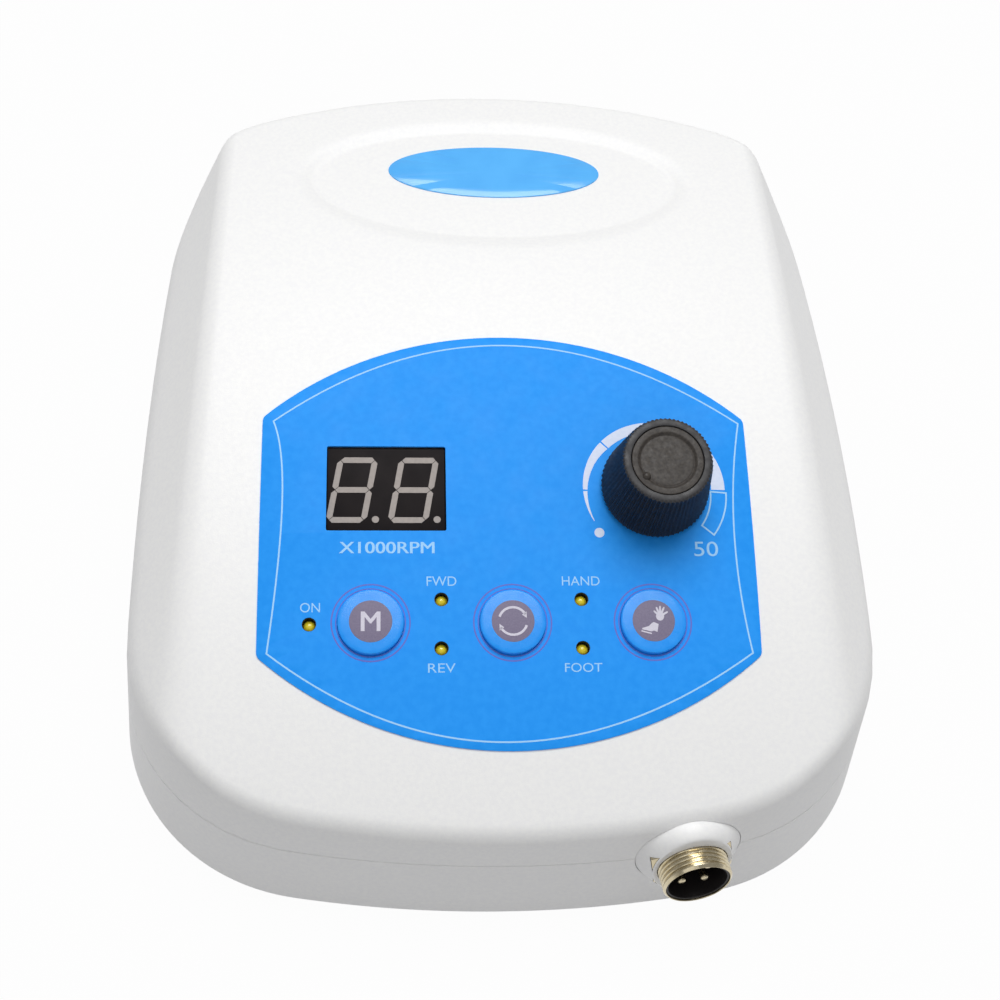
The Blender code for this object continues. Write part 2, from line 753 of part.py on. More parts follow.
def panel_point(u, v, height=0):
    angle, reach = panel_angle(v), PANEL_RADIUS + height
    return Vector((u, CREST_Y - reach * math.sin(angle),
                   PANEL_CENTRE_Z + reach * math.cos(angle)))


def panel_v(y):
    """The v of a place on the panel that lies above y."""
    return PANEL_RADIUS * (panel_angle(0) - math.asin((CREST_Y - y) / PANEL_RADIUS))


BOARD_FRAME = (Matrix.Translation(panel_point(BOARD_U, BOARD_V))
               @ Matrix.Rotation(panel_angle(BOARD_V), 4, "X"))


def spot_frame(u, v):
    """A frame on the panel's surface, square to the board behind it."""
    frame = BOARD_FRAME.copy()
    frame.translation = panel_point(u, v)
    return frame


def board_level(u, v):
    """Height of the board's upper face in the spot frame at (u, v)."""
    return -BOARD_DEPTH - (BOARD_FRAME.inverted() @ panel_point(u, v)).z


def add_bent_loft(bm, sections):
    """Add a solid through (outline, height) sections in (u, v), bent to the panel."""
    work = bmesh.new()
    rings = [[work.verts.new((u, v, height)) for u, v in outline] for outline, height in sections]
    for lower, upper in zip(rings, rings[1:]):
        bridge_rings(work, lower, upper)
    work.faces.new(rings[0][::-1])
    work.faces.new(rings[-1])
    places = [v for outline, height in sections for u, v in outline]
    low, high = min(places), max(places)
    count = math.ceil((high - low) / SHEET_STRIP)
    for step in range(1, count):
        geometry = work.verts[:] + work.edges[:] + work.faces[:]
        bmesh.ops.bisect_plane(work, geom=geometry, dist=MERGE, plane_no=(0, 1, 0),
                               plane_co=(0, low + (high - low) * step / count, 0))
    for vert in work.verts:
        vert.co = panel_point(*vert.co)
    append_mesh(bm, work)


def add_bent_sheet(bm, outline, bottom, top):
    add_bent_loft(bm, [(outline, bottom), (outline, top)])


def arc_points(half_width, end, apex, steps):
    """Points of an arc from +half_width to -half_width, with its middle at the apex."""
    rise = apex - end
    radius = (half_width ** 2 + rise ** 2) / (2 * rise)
    spread = math.asin(half_width / radius)
    angles = [spread * (1 - 2 * step / steps) for step in range(steps + 1)]
    return [(radius * math.sin(angle), apex - radius * (1 - math.cos(angle)))
            for angle in angles]


def overlay_outline(grow=0):
    width = OVERLAY_HALF_WIDTH + grow
    top = arc_points(width, OVERLAY_TOP_CORNER + grow, OVERLAY_TOP + grow, OVERLAY_ARC_STEPS)
    low = arc_points(width, OVERLAY_BOTTOM_CORNER + grow, OVERLAY_BOTTOM + grow,
                     OVERLAY_ARC_STEPS)
    return top + [(-u, -v) for u, v in low]


def oval_outline(half_width, half_length, middle_v):
    angles = [2 * math.pi * step / OVAL_STEPS for step in range(OVAL_STEPS)]
    return [(half_width * math.cos(a), middle_v + half_length * math.sin(a)) for a in angles]


# Values that several pieces share

GROUND = -(FOOT_HEIGHT - FOOT_POCKET + GAP)
OVERLAY_FACE = OVERLAY_THICKNESS + GAP - OVERLAY_SEAT
UNDER_PANEL = -(WALL + SEAT_CLEARANCE)
PLATE_Y = BODY_LENGTH - PLATE_INSET
PLATE_MIDDLE_Z = (PLATE_LOW + PLATE_HIGH) / 2
PLATE_SCREW_X = PLATE_HALF_WIDTH - PLATE_LEDGE / 2
DISH_V = panel_v(BODY_LENGTH - DISH_REAR_MARGIN) - DISH_HALF_LENGTH
BADGE_V = DISH_V + BADGE_OFFSET
MAIN_FRAME = Matrix.Translation((MAIN_BOARD_X, MAIN_BOARD_Y, MAIN_BOARD_HEIGHT + BOARD_THICKNESS))
BUTTONS = {
    "mode": BUTTON_U - BUTTON_PITCH,
    "direction": BUTTON_U,
    "hand_foot": BUTTON_U + BUTTON_PITCH,
}
CORNER_NAMES = ("front_left", "rear_left", "front_right", "rear_right")
BOSS_PLACES = [(side * x, y) for side in (-1, 1)
               for x, y in ((FRONT_BOSS_X, FRONT_BOSS_Y),
                            (REAR_BOSS_X, BODY_LENGTH - REAR_BOSS_INSET))]
FOOT_PLACES = [(side * x, y) for side in (-1, 1)
               for x, y in ((FRONT_FOOT_X, FRONT_FOOT_Y),
                            (REAR_FOOT_X, BODY_LENGTH - REAR_FOOT_INSET))]


def corner_places(width, length):
    reach_x, reach_y = width / 2 - POST_INSET, length / 2 - POST_INSET
    return [(x, y) for x in (-reach_x, reach_x) for y in (-reach_y, reach_y)]


BOARD_POSTS = corner_places(BOARD_WIDTH, BOARD_LENGTH)
MAIN_POSTS = corner_places(MAIN_BOARD_WIDTH, MAIN_BOARD_LENGTH)


def make_socket_frame():
    """A frame on the front wall where the handpiece socket stands, Z pointing out."""
    height = PARTING_HEIGHT + SOCKET_ABOVE_PARTING
    radius = FRONT_RADIUS - height * math.tan(WALL_DRAFT)
    yaw = math.asin(SOCKET_X / radius)
    place = Vector((SOCKET_X, FRONT_RADIUS - radius * math.cos(yaw), height))
    lean = Matrix.Rotation(math.pi / 2 - WALL_DRAFT, 4, "X")
    return Matrix.Translation(place) @ Matrix.Rotation(yaw, 4, "Z") @ lean


SOCKET_FRAME = make_socket_frame()


def rear_frame(x):
    """A frame on the rear plate's outer face, Z pointing out and Y up."""
    place = Matrix.Translation((x, PLATE_Y, PLATE_MIDDLE_Z))
    return place @ Matrix.Rotation(math.pi, 4, "Z") @ Matrix.Rotation(math.pi / 2, 4, "X")


# Housings

def add_form_solid(bm, inset):
    level = PARTING_HEIGHT + GAP / 2
    add_loft(bm, dome_rings(level, inset, INNER_EDGE_RADIUS, INNER_RINGS))


def add_panel_holes(bm, margin):
    """Holes that the overlay and the housing share; margin goes round the display."""
    low, high = -(WALL + CUT_OVERRUN), CUT_OVERRUN
    add_centred_block(bm, DISPLAY_WIDTH + 2 * margin, DISPLAY_HEIGHT + 2 * margin, low, high,
                      spot_frame(DISPLAY_U, 0))
    for u in BUTTONS.values():
        add_cylinder(bm, BUTTON_RADIUS + GAP, low, high, spot_frame(u, BUTTON_V))
    for u, v in LAMP_PLACES.values():
        add_cylinder(bm, LAMP_RADIUS + GAP, low, high, spot_frame(u, v), SMALL_SIDES)
    add_cylinder(bm, BUSHING_RADIUS + GAP, low, high, spot_frame(KNOB_U, KNOB_V))


def add_socket_hole(bm):
    add_cylinder(bm, COLLAR_RADIUS + GAP, -(COLLAR_DEPTH + CUT_OVERRUN), CUT_OVERRUN,
                 SOCKET_FRAME, FINE_SIDES)


def make_upper_inside():
    """Bosses, board posts and rear block, trimmed to lie within the shell's wall."""
    bm = bmesh.new()
    level = PARTING_HEIGHT
    for x, y in BOSS_PLACES:
        add_cylinder(bm, BOSS_RADIUS, level, CREST_HEIGHT, Matrix.Translation((x, y, 0)))
    peg_end = -(BOARD_DEPTH + BOARD_THICKNESS + PEG_RISE)
    for x, y in BOARD_POSTS:
        frame = BOARD_FRAME @ Matrix.Translation((x, y, 0))
        add_turned(bm, [(0, BOARD_DEPTH), (POST_RADIUS, BOARD_DEPTH),
                        (POST_RADIUS, GAP - BOARD_DEPTH), (PEG_RADIUS, GAP - BOARD_DEPTH),
                        (PEG_RADIUS, peg_end), (0, peg_end)], frame)
    width = PLATE_HALF_WIDTH + WALL
    inner = PLATE_Y - PLATE_THICKNESS - GAP - PLATE_LEDGE_DEPTH
    add_block(bm, (-width, inner, PLATE_LOW - WALL), (width, BODY_LENGTH, PLATE_HIGH + WALL))
    inside = solid_cutter("upper_inside", bm)
    trim = bmesh.new()
    add_form_solid(trim, TRIM_SHARE * WALL)
    boolean(inside, "INTERSECT", solid_cutter("upper_trim", trim))
    return inside


def make_upper_cutters():
    recess = bmesh.new()
    add_bent_sheet(recess, overlay_outline(GAP), -OVERLAY_SEAT, CUT_OVERRUN)
    rim = oval_outline(DISH_HALF_WIDTH, DISH_HALF_LENGTH, DISH_V)
    floor = oval_outline(DISH_HALF_WIDTH - DISH_EDGE, DISH_HALF_LENGTH - DISH_EDGE, DISH_V)
    add_bent_loft(recess, [(floor, -DISH_DEPTH), (rim, 0), (rim, CUT_OVERRUN)])

    holes = bmesh.new()
    add_panel_holes(holes, GAP)
    seat = oval_outline(BADGE_HALF_WIDTH + GAP, BADGE_HALF_LENGTH + GAP, BADGE_V)
    add_bent_sheet(holes, seat, -(DISH_DEPTH + BADGE_SEAT), CUT_OVERRUN)

    openings = bmesh.new()
    add_socket_hole(openings)
    ledge = PLATE_Y - PLATE_THICKNESS - GAP
    add_block(openings, (-PLATE_HALF_WIDTH, ledge, PLATE_LOW),
              (PLATE_HALF_WIDTH, BODY_LENGTH + CUT_OVERRUN, PLATE_HIGH))
    top = CASE_HEAD_DEPTH - GAP + CASE_SCREW_LENGTH + GAP
    for x, y in BOSS_PLACES:
        add_cylinder(openings, CASE_SCREW_RADIUS + GAP, PARTING_HEIGHT - CUT_OVERRUN, top,
                     Matrix.Translation((x, y, 0)), SMALL_SIDES)

    passage = bmesh.new()
    width = PLATE_HALF_WIDTH - PLATE_LEDGE
    add_block(passage, (-width, ledge - PLATE_LEDGE_DEPTH - CUT_OVERRUN, PLATE_LOW + PLATE_LEDGE),
              (width, ledge + CUT_OVERRUN, PLATE_HIGH - PLATE_LEDGE))
    for side in (-1, 1):
        add_cylinder(passage, SMALL_SCREW_RADIUS + GAP,
                     -(PLATE_THICKNESS + PLATE_LEDGE_DEPTH + CUT_OVERRUN), CUT_OVERRUN,
                     rear_frame(side * PLATE_SCREW_X), SMALL_SIDES)
    return [solid_cutter("panel_recess", recess), solid_cutter("panel_holes", holes),
            solid_cutter("wall_openings", openings), solid_cutter("plate_passage", passage)]


def make_upper_housing():
    level = PARTING_HEIGHT + GAP / 2
    bm = bmesh.new()
    outer = dome_rings(level, 0, EDGE_RADIUS, UPPER_RINGS)
    inner = dome_rings(level, WALL, INNER_EDGE_RADIUS, INNER_RINGS)
    add_loft(bm, inner[::-1] + outer)
    housing = solid_object("upper_housing", bm, "white_abs")
    boolean(housing, "UNION", make_upper_inside())
    for tool in make_upper_cutters():
        boolean(housing, "DIFFERENCE", tool)


def make_lower_housing():
    level = PARTING_HEIGHT - GAP / 2
    bm = bmesh.new()
    add_loft(bm, [level_ring(0, BASE_CHAMFER), level_ring(BASE_CHAMFER, 0), level_ring(level, 0),
                  level_ring(level, WALL), level_ring(FLOOR, WALL)])
    housing = solid_object("lower_housing", bm, "white_abs")

    posts = bmesh.new()
    for x, y in BOSS_PLACES:
        add_cylinder(posts, BOSS_RADIUS, FLOOR / 2, level, Matrix.Translation((x, y, 0)))
    shoulder = MAIN_BOARD_HEIGHT - GAP
    peg_end = MAIN_BOARD_HEIGHT + BOARD_THICKNESS + PEG_RISE
    for x, y in MAIN_POSTS:
        add_turned(posts, [(0, peg_end), (PEG_RADIUS, peg_end), (PEG_RADIUS, shoulder),
                           (POST_RADIUS, shoulder), (POST_RADIUS, FLOOR / 2), (0, FLOOR / 2)],
                   Matrix.Translation((MAIN_BOARD_X + x, MAIN_BOARD_Y + y, 0)))
    for side in (-1, 1):
        add_cylinder(posts, STRAP_PEG_RADIUS, FLOOR / 2,
                     FLOOR + GAP + STRAP_THICKNESS + PEG_RISE,
                     Matrix.Translation((CORE_X + side * STRAP_PEG_X, CORE_Y, 0)), SMALL_SIDES)
    boolean(housing, "UNION", solid_cutter("lower_inside", posts))

    wide = bmesh.new()
    add_socket_hole(wide)
    for x, y in FOOT_PLACES:
        add_cylinder(wide, FOOT_RADIUS + GAP, -CUT_OVERRUN, FOOT_POCKET,
                     Matrix.Translation((x, y, 0)))
    for x, y in BOSS_PLACES:
        add_cylinder(wide, CASE_SCREW_HEAD_RADIUS + GAP, -CUT_OVERRUN, CASE_HEAD_DEPTH,
                     Matrix.Translation((x, y, 0)))
    for side in (-1, 1):
        for step in range(VENT_COUNT):
            x = side * VENT_ROW_X + (step - (VENT_COUNT - 1) / 2) * VENT_PITCH
            add_centred_block(wide, VENT_WIDTH, VENT_LENGTH, -CUT_OVERRUN, FLOOR + CUT_OVERRUN,
                              Matrix.Translation((x, VENT_Y, 0)))
    boolean(housing, "DIFFERENCE", solid_cutter("floor_openings", wide))

    narrow = bmesh.new()
    for x, y in BOSS_PLACES:
        add_cylinder(narrow, CASE_SCREW_RADIUS + GAP, CASE_HEAD_DEPTH - CUT_OVERRUN,
                     PARTING_HEIGHT + CUT_OVERRUN, Matrix.Translation((x, y, 0)), SMALL_SIDES)
    boolean(housing, "DIFFERENCE", solid_cutter("screw_holes", narrow))


def make_case_screws():
    """One screw in each boss, put in from below."""
    profile = [(0, CASE_SCREW_LENGTH), (CASE_SCREW_RADIUS, CASE_SCREW_LENGTH),
               (CASE_SCREW_RADIUS, 0), (CASE_SCREW_HEAD_RADIUS, 0),
               (CASE_SCREW_HEAD_RADIUS, -CASE_SCREW_HEAD_HEIGHT), (0, -CASE_SCREW_HEAD_HEIGHT)]
    for corner, (x, y) in zip(CORNER_NAMES, BOSS_PLACES):
        frame = Matrix.Translation((x, y, CASE_HEAD_DEPTH - GAP))
        turned_object("case_screw_" + corner, profile, "steel", frame, SMALL_SIDES)


def make_rubber_feet():
    profile = [(0, FOOT_HEIGHT), (FOOT_RADIUS, FOOT_HEIGHT), (FOOT_RADIUS - FOOT_POCKET, 0), (0, 0)]
    for corner, (x, y) in zip(CORNER_NAMES, FOOT_PLACES):
        turned_object("rubber_foot_" + corner, profile, "grey_rubber",
                      Matrix.Translation((x, y, GROUND)))


# Panel overlay and badge plate

def make_overlay():
    bm = bmesh.new()
    add_bent_sheet(bm, overlay_outline(), GAP - OVERLAY_SEAT, OVERLAY_FACE)
    overlay = solid_object("control_overlay", bm, "blue_print")
    holes = bmesh.new()
    add_panel_holes(holes, 0)
    boolean(overlay, "DIFFERENCE", solid_cutter("overlay_holes", holes))


def make_badge():
    bm = bmesh.new()
    bottom = GAP - DISH_DEPTH - BADGE_SEAT
    add_bent_sheet(bm, oval_outline(BADGE_HALF_WIDTH, BADGE_HALF_LENGTH, BADGE_V), bottom,
                   bottom + BADGE_THICKNESS)
    solid_object("badge_plate", bm, "blue_print")


# Display

def make_display():
    frame = spot_frame(DISPLAY_U, 0)
    bm = bmesh.new()
    add_centred_block(bm, DISPLAY_WIDTH, DISPLAY_HEIGHT, board_level(DISPLAY_U, 0) + GAP,
                      -DISPLAY_SINK)
    solid_object("display_module", bm, "display_black", frame)


# Push buttons and lamps

def make_button(name, u):
    """A clear domed cap, and the stem inside it that shows the icon."""
    frame = spot_frame(u, BUTTON_V)
    pocket = ICON_RADIUS + GAP
    roof = BUTTON_RISE - BUTTON_SKIN
    shoulder = BUTTON_RISE - BUTTON_CROWN
    foot = UNDER_PANEL - BUTTON_FLANGE
    turned_object(name + "_button",
                  [(0, BUTTON_RISE), (BUTTON_RADIUS / 2, BUTTON_RISE - BUTTON_CROWN * CROWN_SHARE),
                   (BUTTON_RADIUS - BUTTON_CROWN, shoulder),
                   (BUTTON_RADIUS, shoulder - BUTTON_CROWN), (BUTTON_RADIUS, UNDER_PANEL),
                   (BUTTON_FLANGE_RADIUS, UNDER_PANEL), (BUTTON_FLANGE_RADIUS, foot),
                   (pocket, foot), (pocket, roof), (0, roof)],
                  "clear_silicone", frame)
    switch_top = board_level(u, BUTTON_V) + GAP + SWITCH_HEIGHT
    top = roof - GAP
    turned_object(name + "_stem",
                  [(0, top), (ICON_RADIUS, top), (ICON_RADIUS, top - ICON_LENGTH),
                   (STEM_RADIUS, top - ICON_LENGTH), (STEM_RADIUS, switch_top - STEM_ENTRY),
                   (0, switch_top - STEM_ENTRY)],
                  "grey_plastic", frame)


def make_switch_button(name, u):
    """The small switch on the board that a button's stem presses."""
    bottom = board_level(u, BUTTON_V) + GAP
    frame = spot_frame(u, BUTTON_V)
    bm = bmesh.new()
    add_centred_block(bm, SWITCH_SIDE, SWITCH_SIDE, bottom, bottom + SWITCH_HEIGHT)
    switch = solid_object(name + "_switch", bm, "black_plastic", frame)
    well = bmesh.new()
    add_cylinder(well, STEM_RADIUS + GAP, bottom + SWITCH_FLOOR,
                 bottom + SWITCH_HEIGHT + CUT_OVERRUN, sides=SMALL_SIDES)
    boolean(switch, "DIFFERENCE", solid_cutter(name + "_well", well, frame))


def make_lamp(name, u, v):
    foot = board_level(u, v) + GAP
    top = -LAMP_SINK
    neck = top - LAMP_BODY_LENGTH
    turned_object(name + "_led",
                  [(0, top), (LAMP_RADIUS / 2, top), (LAMP_RADIUS, top - LAMP_DOME),
                   (LAMP_RADIUS, neck), (LAMP_FLANGE_RADIUS, neck),
                   (LAMP_FLANGE_RADIUS, neck - LAMP_FLANGE),
                   (LAMP_SPACER_RADIUS, neck - LAMP_FLANGE), (LAMP_SPACER_RADIUS, foot),
                   (0, foot)],
                  "lamp_yellow", spot_frame(u, v), SMALL_SIDES)


# Speed control

def make_speed_knob(frame):
    bottom = OVERLAY_FACE + KNOB_CLEARANCE
    top = bottom + KNOB_HEIGHT
    bm = bmesh.new()
    add_ribbed(bm, [(KNOB_BASE_RADIUS - KNOB_RIB_DEPTH, bottom, 0),
                    (KNOB_BASE_RADIUS, bottom + KNOB_RIM / 2, KNOB_RIB_DEPTH),
                    (KNOB_TOP_RADIUS, top - KNOB_RIM / 2, KNOB_RIB_DEPTH),
                    (KNOB_TOP_RADIUS - KNOB_RIM / 2, top, 0)], KNOB_RIBS)
    knob = solid_object("speed_knob", bm, "black_plastic", frame)
    cap_floor = top - CAP_RECESS - CAP_THICKNESS - GAP
    hollows = bmesh.new()
    add_cylinder(hollows, CAP_RADIUS + GAP, cap_floor, top + CUT_OVERRUN, sides=FINE_SIDES)
    pocket_top = BUSHING_ABOVE + SEAT_CLEARANCE
    add_turned(hollows, [(0, SHAFT_ABOVE + GAP), (SHAFT_RADIUS + GAP, SHAFT_ABOVE + GAP),
                         (SHAFT_RADIUS + GAP, pocket_top), (KNOB_POCKET_RADIUS, pocket_top),
                         (KNOB_POCKET_RADIUS, bottom - CUT_OVERRUN), (0, bottom - CUT_OVERRUN)],
               sides=ROUND_SIDES)
    boolean(knob, "DIFFERENCE", solid_cutter("knob_hollows", hollows, frame))

    cap_top = top - CAP_RECESS
    dish = cap_top - CAP_DISH_DEPTH
    cap = turned_object("knob_cap",
                        [(0, dish), (CAP_DISH_RADIUS - CAP_DISH_DEPTH, dish),
                         (CAP_DISH_RADIUS, cap_top), (CAP_RADIUS, cap_top),
                         (CAP_RADIUS, cap_top - CAP_THICKNESS), (0, cap_top - CAP_THICKNESS)],
                        "black_plastic", frame, FINE_SIDES)
    pointer = bmesh.new()
    place = Matrix.Translation((POINTER_REACH * math.cos(POINTER_ANGLE),
                                POINTER_REACH * math.sin(POINTER_ANGLE), 0))
    add_cylinder(pointer, POINTER_RADIUS, cap_top - CAP_THICKNESS / 2,
                 cap_top + CAP_DISH_DEPTH / 2, place, SMALL_SIDES)
    boolean(cap, "UNION", solid_cutter("pointer_tool", pointer, frame))


def make_speed_control():
    frame = spot_frame(KNOB_U, KNOB_V)
    make_speed_knob(frame)
    flange_foot = UNDER_PANEL - BUSHING_FLANGE
    bore = SHAFT_RADIUS + GAP
    shaft_foot = flange_foot - SHAFT_IN_BODY
    pot_foot = board_level(KNOB_U, KNOB_V) + GAP
    turned_object("potentiometer",
                  [(BUSHING_RADIUS, BUSHING_ABOVE), (BUSHING_RADIUS, UNDER_PANEL),
                   (BUSHING_FLANGE_RADIUS, UNDER_PANEL), (BUSHING_FLANGE_RADIUS, flange_foot),
                   (POT_RADIUS, flange_foot), (POT_RADIUS, pot_foot), (0, pot_foot),
                   (0, shaft_foot - GAP), (bore, shaft_foot - GAP), (bore, BUSHING_ABOVE)],
                  "steel", frame, closed=True)
    turned_object("knob_shaft", [(0, SHAFT_ABOVE), (SHAFT_RADIUS, SHAFT_ABOVE),
                                 (SHAFT_RADIUS, shaft_foot), (0, shaft_foot)],
                  "aluminium", frame)
    make_hex_nut("potentiometer_nut", NUT_HALF_FLATS, BUSHING_RADIUS + GAP, OVERLAY_FACE + GAP,
                 NUT_THICKNESS, frame)


def make_hex_nut(name, half_flats, hole_radius, bottom, thickness, frame):
    bm = bmesh.new()
    add_hexagon(bm, half_flats, bottom, bottom + thickness)
    nut = solid_object(name, bm, "nickel", frame)
    hole = bmesh.new()
    add_cylinder(hole, hole_radius, bottom - CUT_OVERRUN, bottom + thickness + CUT_OVERRUN)
    boolean(nut, "DIFFERENCE", solid_cutter(name + "_hole", hole, frame))


# Boards, held on pegs of the housings

def make_board(name, width, length, top, places, frame):
    bm = bmesh.new()
    add_centred_block(bm, width, length, top - BOARD_THICKNESS, top)
    board = solid_object(name, bm, "circuit_green", frame)
    holes = bmesh.new()
    for x, y in places:
        add_cylinder(holes, PEG_RADIUS + GAP, top - BOARD_THICKNESS - CUT_OVERRUN,
                     top + CUT_OVERRUN, Matrix.Translation((x, y, 0)), SMALL_SIDES)
    boolean(board, "DIFFERENCE", solid_cutter(name + "_holes", holes, frame))


def make_boards():
    make_board("display_board", BOARD_WIDTH, BOARD_LENGTH, -BOARD_DEPTH, BOARD_POSTS,
               BOARD_FRAME)
    make_board("main_board", MAIN_BOARD_WIDTH, MAIN_BOARD_LENGTH, 0, MAIN_POSTS, MAIN_FRAME)


def make_board_parts():
    """What stands on the main board, in the frame of its upper face."""
    edge = MAIN_BOARD_WIDTH / 2 - HEATSINK_INSET
    face = edge - HEATSINK_BASE - FIN_DEPTH
    half = HEATSINK_LENGTH / 2
    bm = bmesh.new()
    pitch = (HEATSINK_LENGTH - FIN_THICKNESS) / (FIN_COUNT - 1)
    teeth = [(face, half), (face, -half)]
    for step in range(FIN_COUNT):
        low = step * pitch - half
        teeth += [(edge, low), (edge, low + FIN_THICKNESS)]
        if step < FIN_COUNT - 1:
            teeth += [(face + HEATSINK_BASE, low + FIN_THICKNESS),
                      (face + HEATSINK_BASE, low + pitch)]
    add_prism(bm, teeth, GAP, GAP + HEATSINK_HEIGHT)
    solid_object("heatsink", bm, "aluminium", MAIN_FRAME)

    add_part_block("motor_driver", face - GAP - TRANSISTOR_THICKNESS / 2, 0,
                   TRANSISTOR_THICKNESS, TRANSISTOR_WIDTH, TRANSISTOR_HEIGHT, "black_plastic")
    add_part_block("relay", RELAY_U, RELAY_V, RELAY_WIDTH, RELAY_LENGTH, RELAY_HEIGHT,
                   "display_black")
    add_part_block("controller_chip", CHIP_U, CHIP_V, CHIP_WIDTH, CHIP_LENGTH, CHIP_HEIGHT,
                   "black_plastic")
    bm = bmesh.new()
    add_cylinder(bm, CAPACITOR_RADIUS, GAP, GAP + CAPACITOR_HEIGHT,
                 Matrix.Translation((CAPACITOR_U, CAPACITOR_V, 0)))
    solid_object("filter_capacitor", bm, "black_plastic", MAIN_FRAME)


def add_part_block(name, u, v, width, length, height, material):
    bm = bmesh.new()
    add_centred_block(bm, width, length, GAP, GAP + height, Matrix.Translation((u, v, 0)))
    solid_object(name, bm, material, MAIN_FRAME)


# Handpiece socket

def shell_profile(radius, bore, reach, flange_radius, flange_top, flange_foot):
    """A threaded barrel in front of a flange, run down its outer side and up its bore."""
    profile = [(radius - THREAD_DEPTH, reach)]
    for turn in range(THREAD_TURNS):
        crest = reach - THREAD_DEPTH - turn * THREAD_PITCH
        profile += [(radius, crest), (radius, crest - THREAD_PITCH / 2),
                    (radius - THREAD_DEPTH, crest - THREAD_PITCH / 2 - THREAD_DEPTH / 2)]
    last = reach - THREAD_DEPTH - THREAD_TURNS * THREAD_PITCH
    profile += [(radius, last), (radius, flange_top), (flange_radius, flange_top),
                (flange_radius, flange_foot), (bore, flange_foot), (bore, reach)]
    return profile


def pin_places(count, circle_radius):
    return [Matrix.Translation((circle_radius * math.cos(2 * math.pi * step / count),
                                circle_radius * math.sin(2 * math.pi * step / count), 0))
            for step in range(count)]


def make_insert(name, radius, top, bottom, pins, frame):
    """A round insulator with its pins moulded in; pins are (places, radius, tip, tail)."""
    insert = turned_object(name, [(0, top), (radius, top), (radius, bottom), (0, bottom)],
                           "black_plastic", frame)
    places, pin_radius, tip, tail = pins
    bm = bmesh.new()
    for place in places:
        add_turned(bm, [(0, tip), (pin_radius / 2, tip), (pin_radius, tip - pin_radius / 2),
                        (pin_radius, tail), (0, tail)], place)
    boolean(insert, "UNION", solid_cutter(name + "_pins", bm, frame))


def make_socket():
    ring = SOCKET_RADIUS + GAP
    round_over = COLLAR_ROUND / 2
    turned_object("socket_collar",
                  [(ring, COLLAR_RISE), (COLLAR_RADIUS - COLLAR_ROUND, COLLAR_RISE),
                   (COLLAR_RADIUS - round_over, COLLAR_RISE - round_over / 2),
                   (COLLAR_RADIUS, COLLAR_RISE - COLLAR_ROUND), (COLLAR_RADIUS, -COLLAR_DEPTH),
                   (ring, -COLLAR_DEPTH)],
                  "white_abs", SOCKET_FRAME, FINE_SIDES, closed=True)
    flange_top = -(COLLAR_DEPTH + GAP)
    turned_object("socket_shell",
                  shell_profile(SOCKET_RADIUS, SOCKET_BORE_RADIUS, SOCKET_REACH,
                                SOCKET_FLANGE_RADIUS, flange_top, flange_top - SOCKET_FLANGE),
                  "nickel", SOCKET_FRAME, FINE_SIDES, closed=True)
    turned = SOCKET_FRAME @ Matrix.Rotation(SOCKET_NUT_TURN, 4, "Z")
    make_hex_nut("socket_nut", SOCKET_NUT_HALF_FLATS, ring, COLLAR_RISE + GAP,
                 SOCKET_NUT_THICKNESS, turned)
    face = SOCKET_REACH - INSULATOR_SINK
    places = pin_places(PIN_COUNT, PIN_CIRCLE_RADIUS)
    make_insert("socket_insert", SOCKET_BORE_RADIUS - GAP, face, face - INSULATOR_LENGTH,
                (places, PIN_RADIUS, face + PIN_REACH, face - INSULATOR_LENGTH - PIN_TAIL),
                SOCKET_FRAME)


# Rear plate and what it carries; in its frames Z points out of the unit and Y up

def add_inlet_outline(bm, width, height, bottom, top):
    """A mains inlet's outline: a block with its two upper corners cut off."""
    half, rise, cut = width / 2, height / 2, height * INLET_CORNER_SHARE
    add_prism(bm, [(-half, -rise), (half, -rise), (half, rise - cut), (half - cut, rise),
                   (cut - half, rise), (-half, rise - cut)], bottom, top)


def make_rear_plate():
    bm = bmesh.new()
    add_centred_block(bm, 2 * (PLATE_HALF_WIDTH - GAP), PLATE_HIGH - PLATE_LOW - 2 * GAP,
                      -PLATE_THICKNESS, 0)
    plate = solid_object("rear_plate", bm, "black_plastic", rear_frame(0))
    low, high = -(PLATE_THICKNESS + CUT_OVERRUN), CUT_OVERRUN
    holes = bmesh.new()
    add_centred_block(holes, SWITCH_BODY_WIDTH + 2 * GAP, SWITCH_BODY_HEIGHT + 2 * GAP, low, high,
                      rear_frame(SWITCH_X))
    add_centred_block(holes, INLET_BODY_WIDTH + 2 * GAP, INLET_BODY_HEIGHT + 2 * GAP, low, high,
                      rear_frame(INLET_X))
    add_cylinder(holes, FUSE_BODY_RADIUS + GAP, low, high, rear_frame(FUSE_X))
    add_cylinder(holes, FOOT_SOCKET_RADIUS + GAP, low, high, rear_frame(FOOT_SOCKET_X))
    for side in (-1, 1):
        add_cylinder(holes, SMALL_SCREW_RADIUS + GAP, low, high,
                     rear_frame(side * PLATE_SCREW_X), SMALL_SIDES)
    boolean(plate, "DIFFERENCE", solid_cutter("plate_holes", holes))
    profile = [(0, SMALL_SCREW_HEAD_HEIGHT), (SMALL_SCREW_HEAD_RADIUS, SMALL_SCREW_HEAD_HEIGHT),
               (SMALL_SCREW_HEAD_RADIUS, 0), (SMALL_SCREW_RADIUS, 0),
               (SMALL_SCREW_RADIUS, -SMALL_SCREW_LENGTH), (0, -SMALL_SCREW_LENGTH)]
    for name, side in (("left", -1), ("right", 1)):
        turned_object("plate_screw_" + name, profile, "steel",
                      rear_frame(side * PLATE_SCREW_X) @ Matrix.Translation((0, 0, GAP)),
                      SMALL_SIDES)


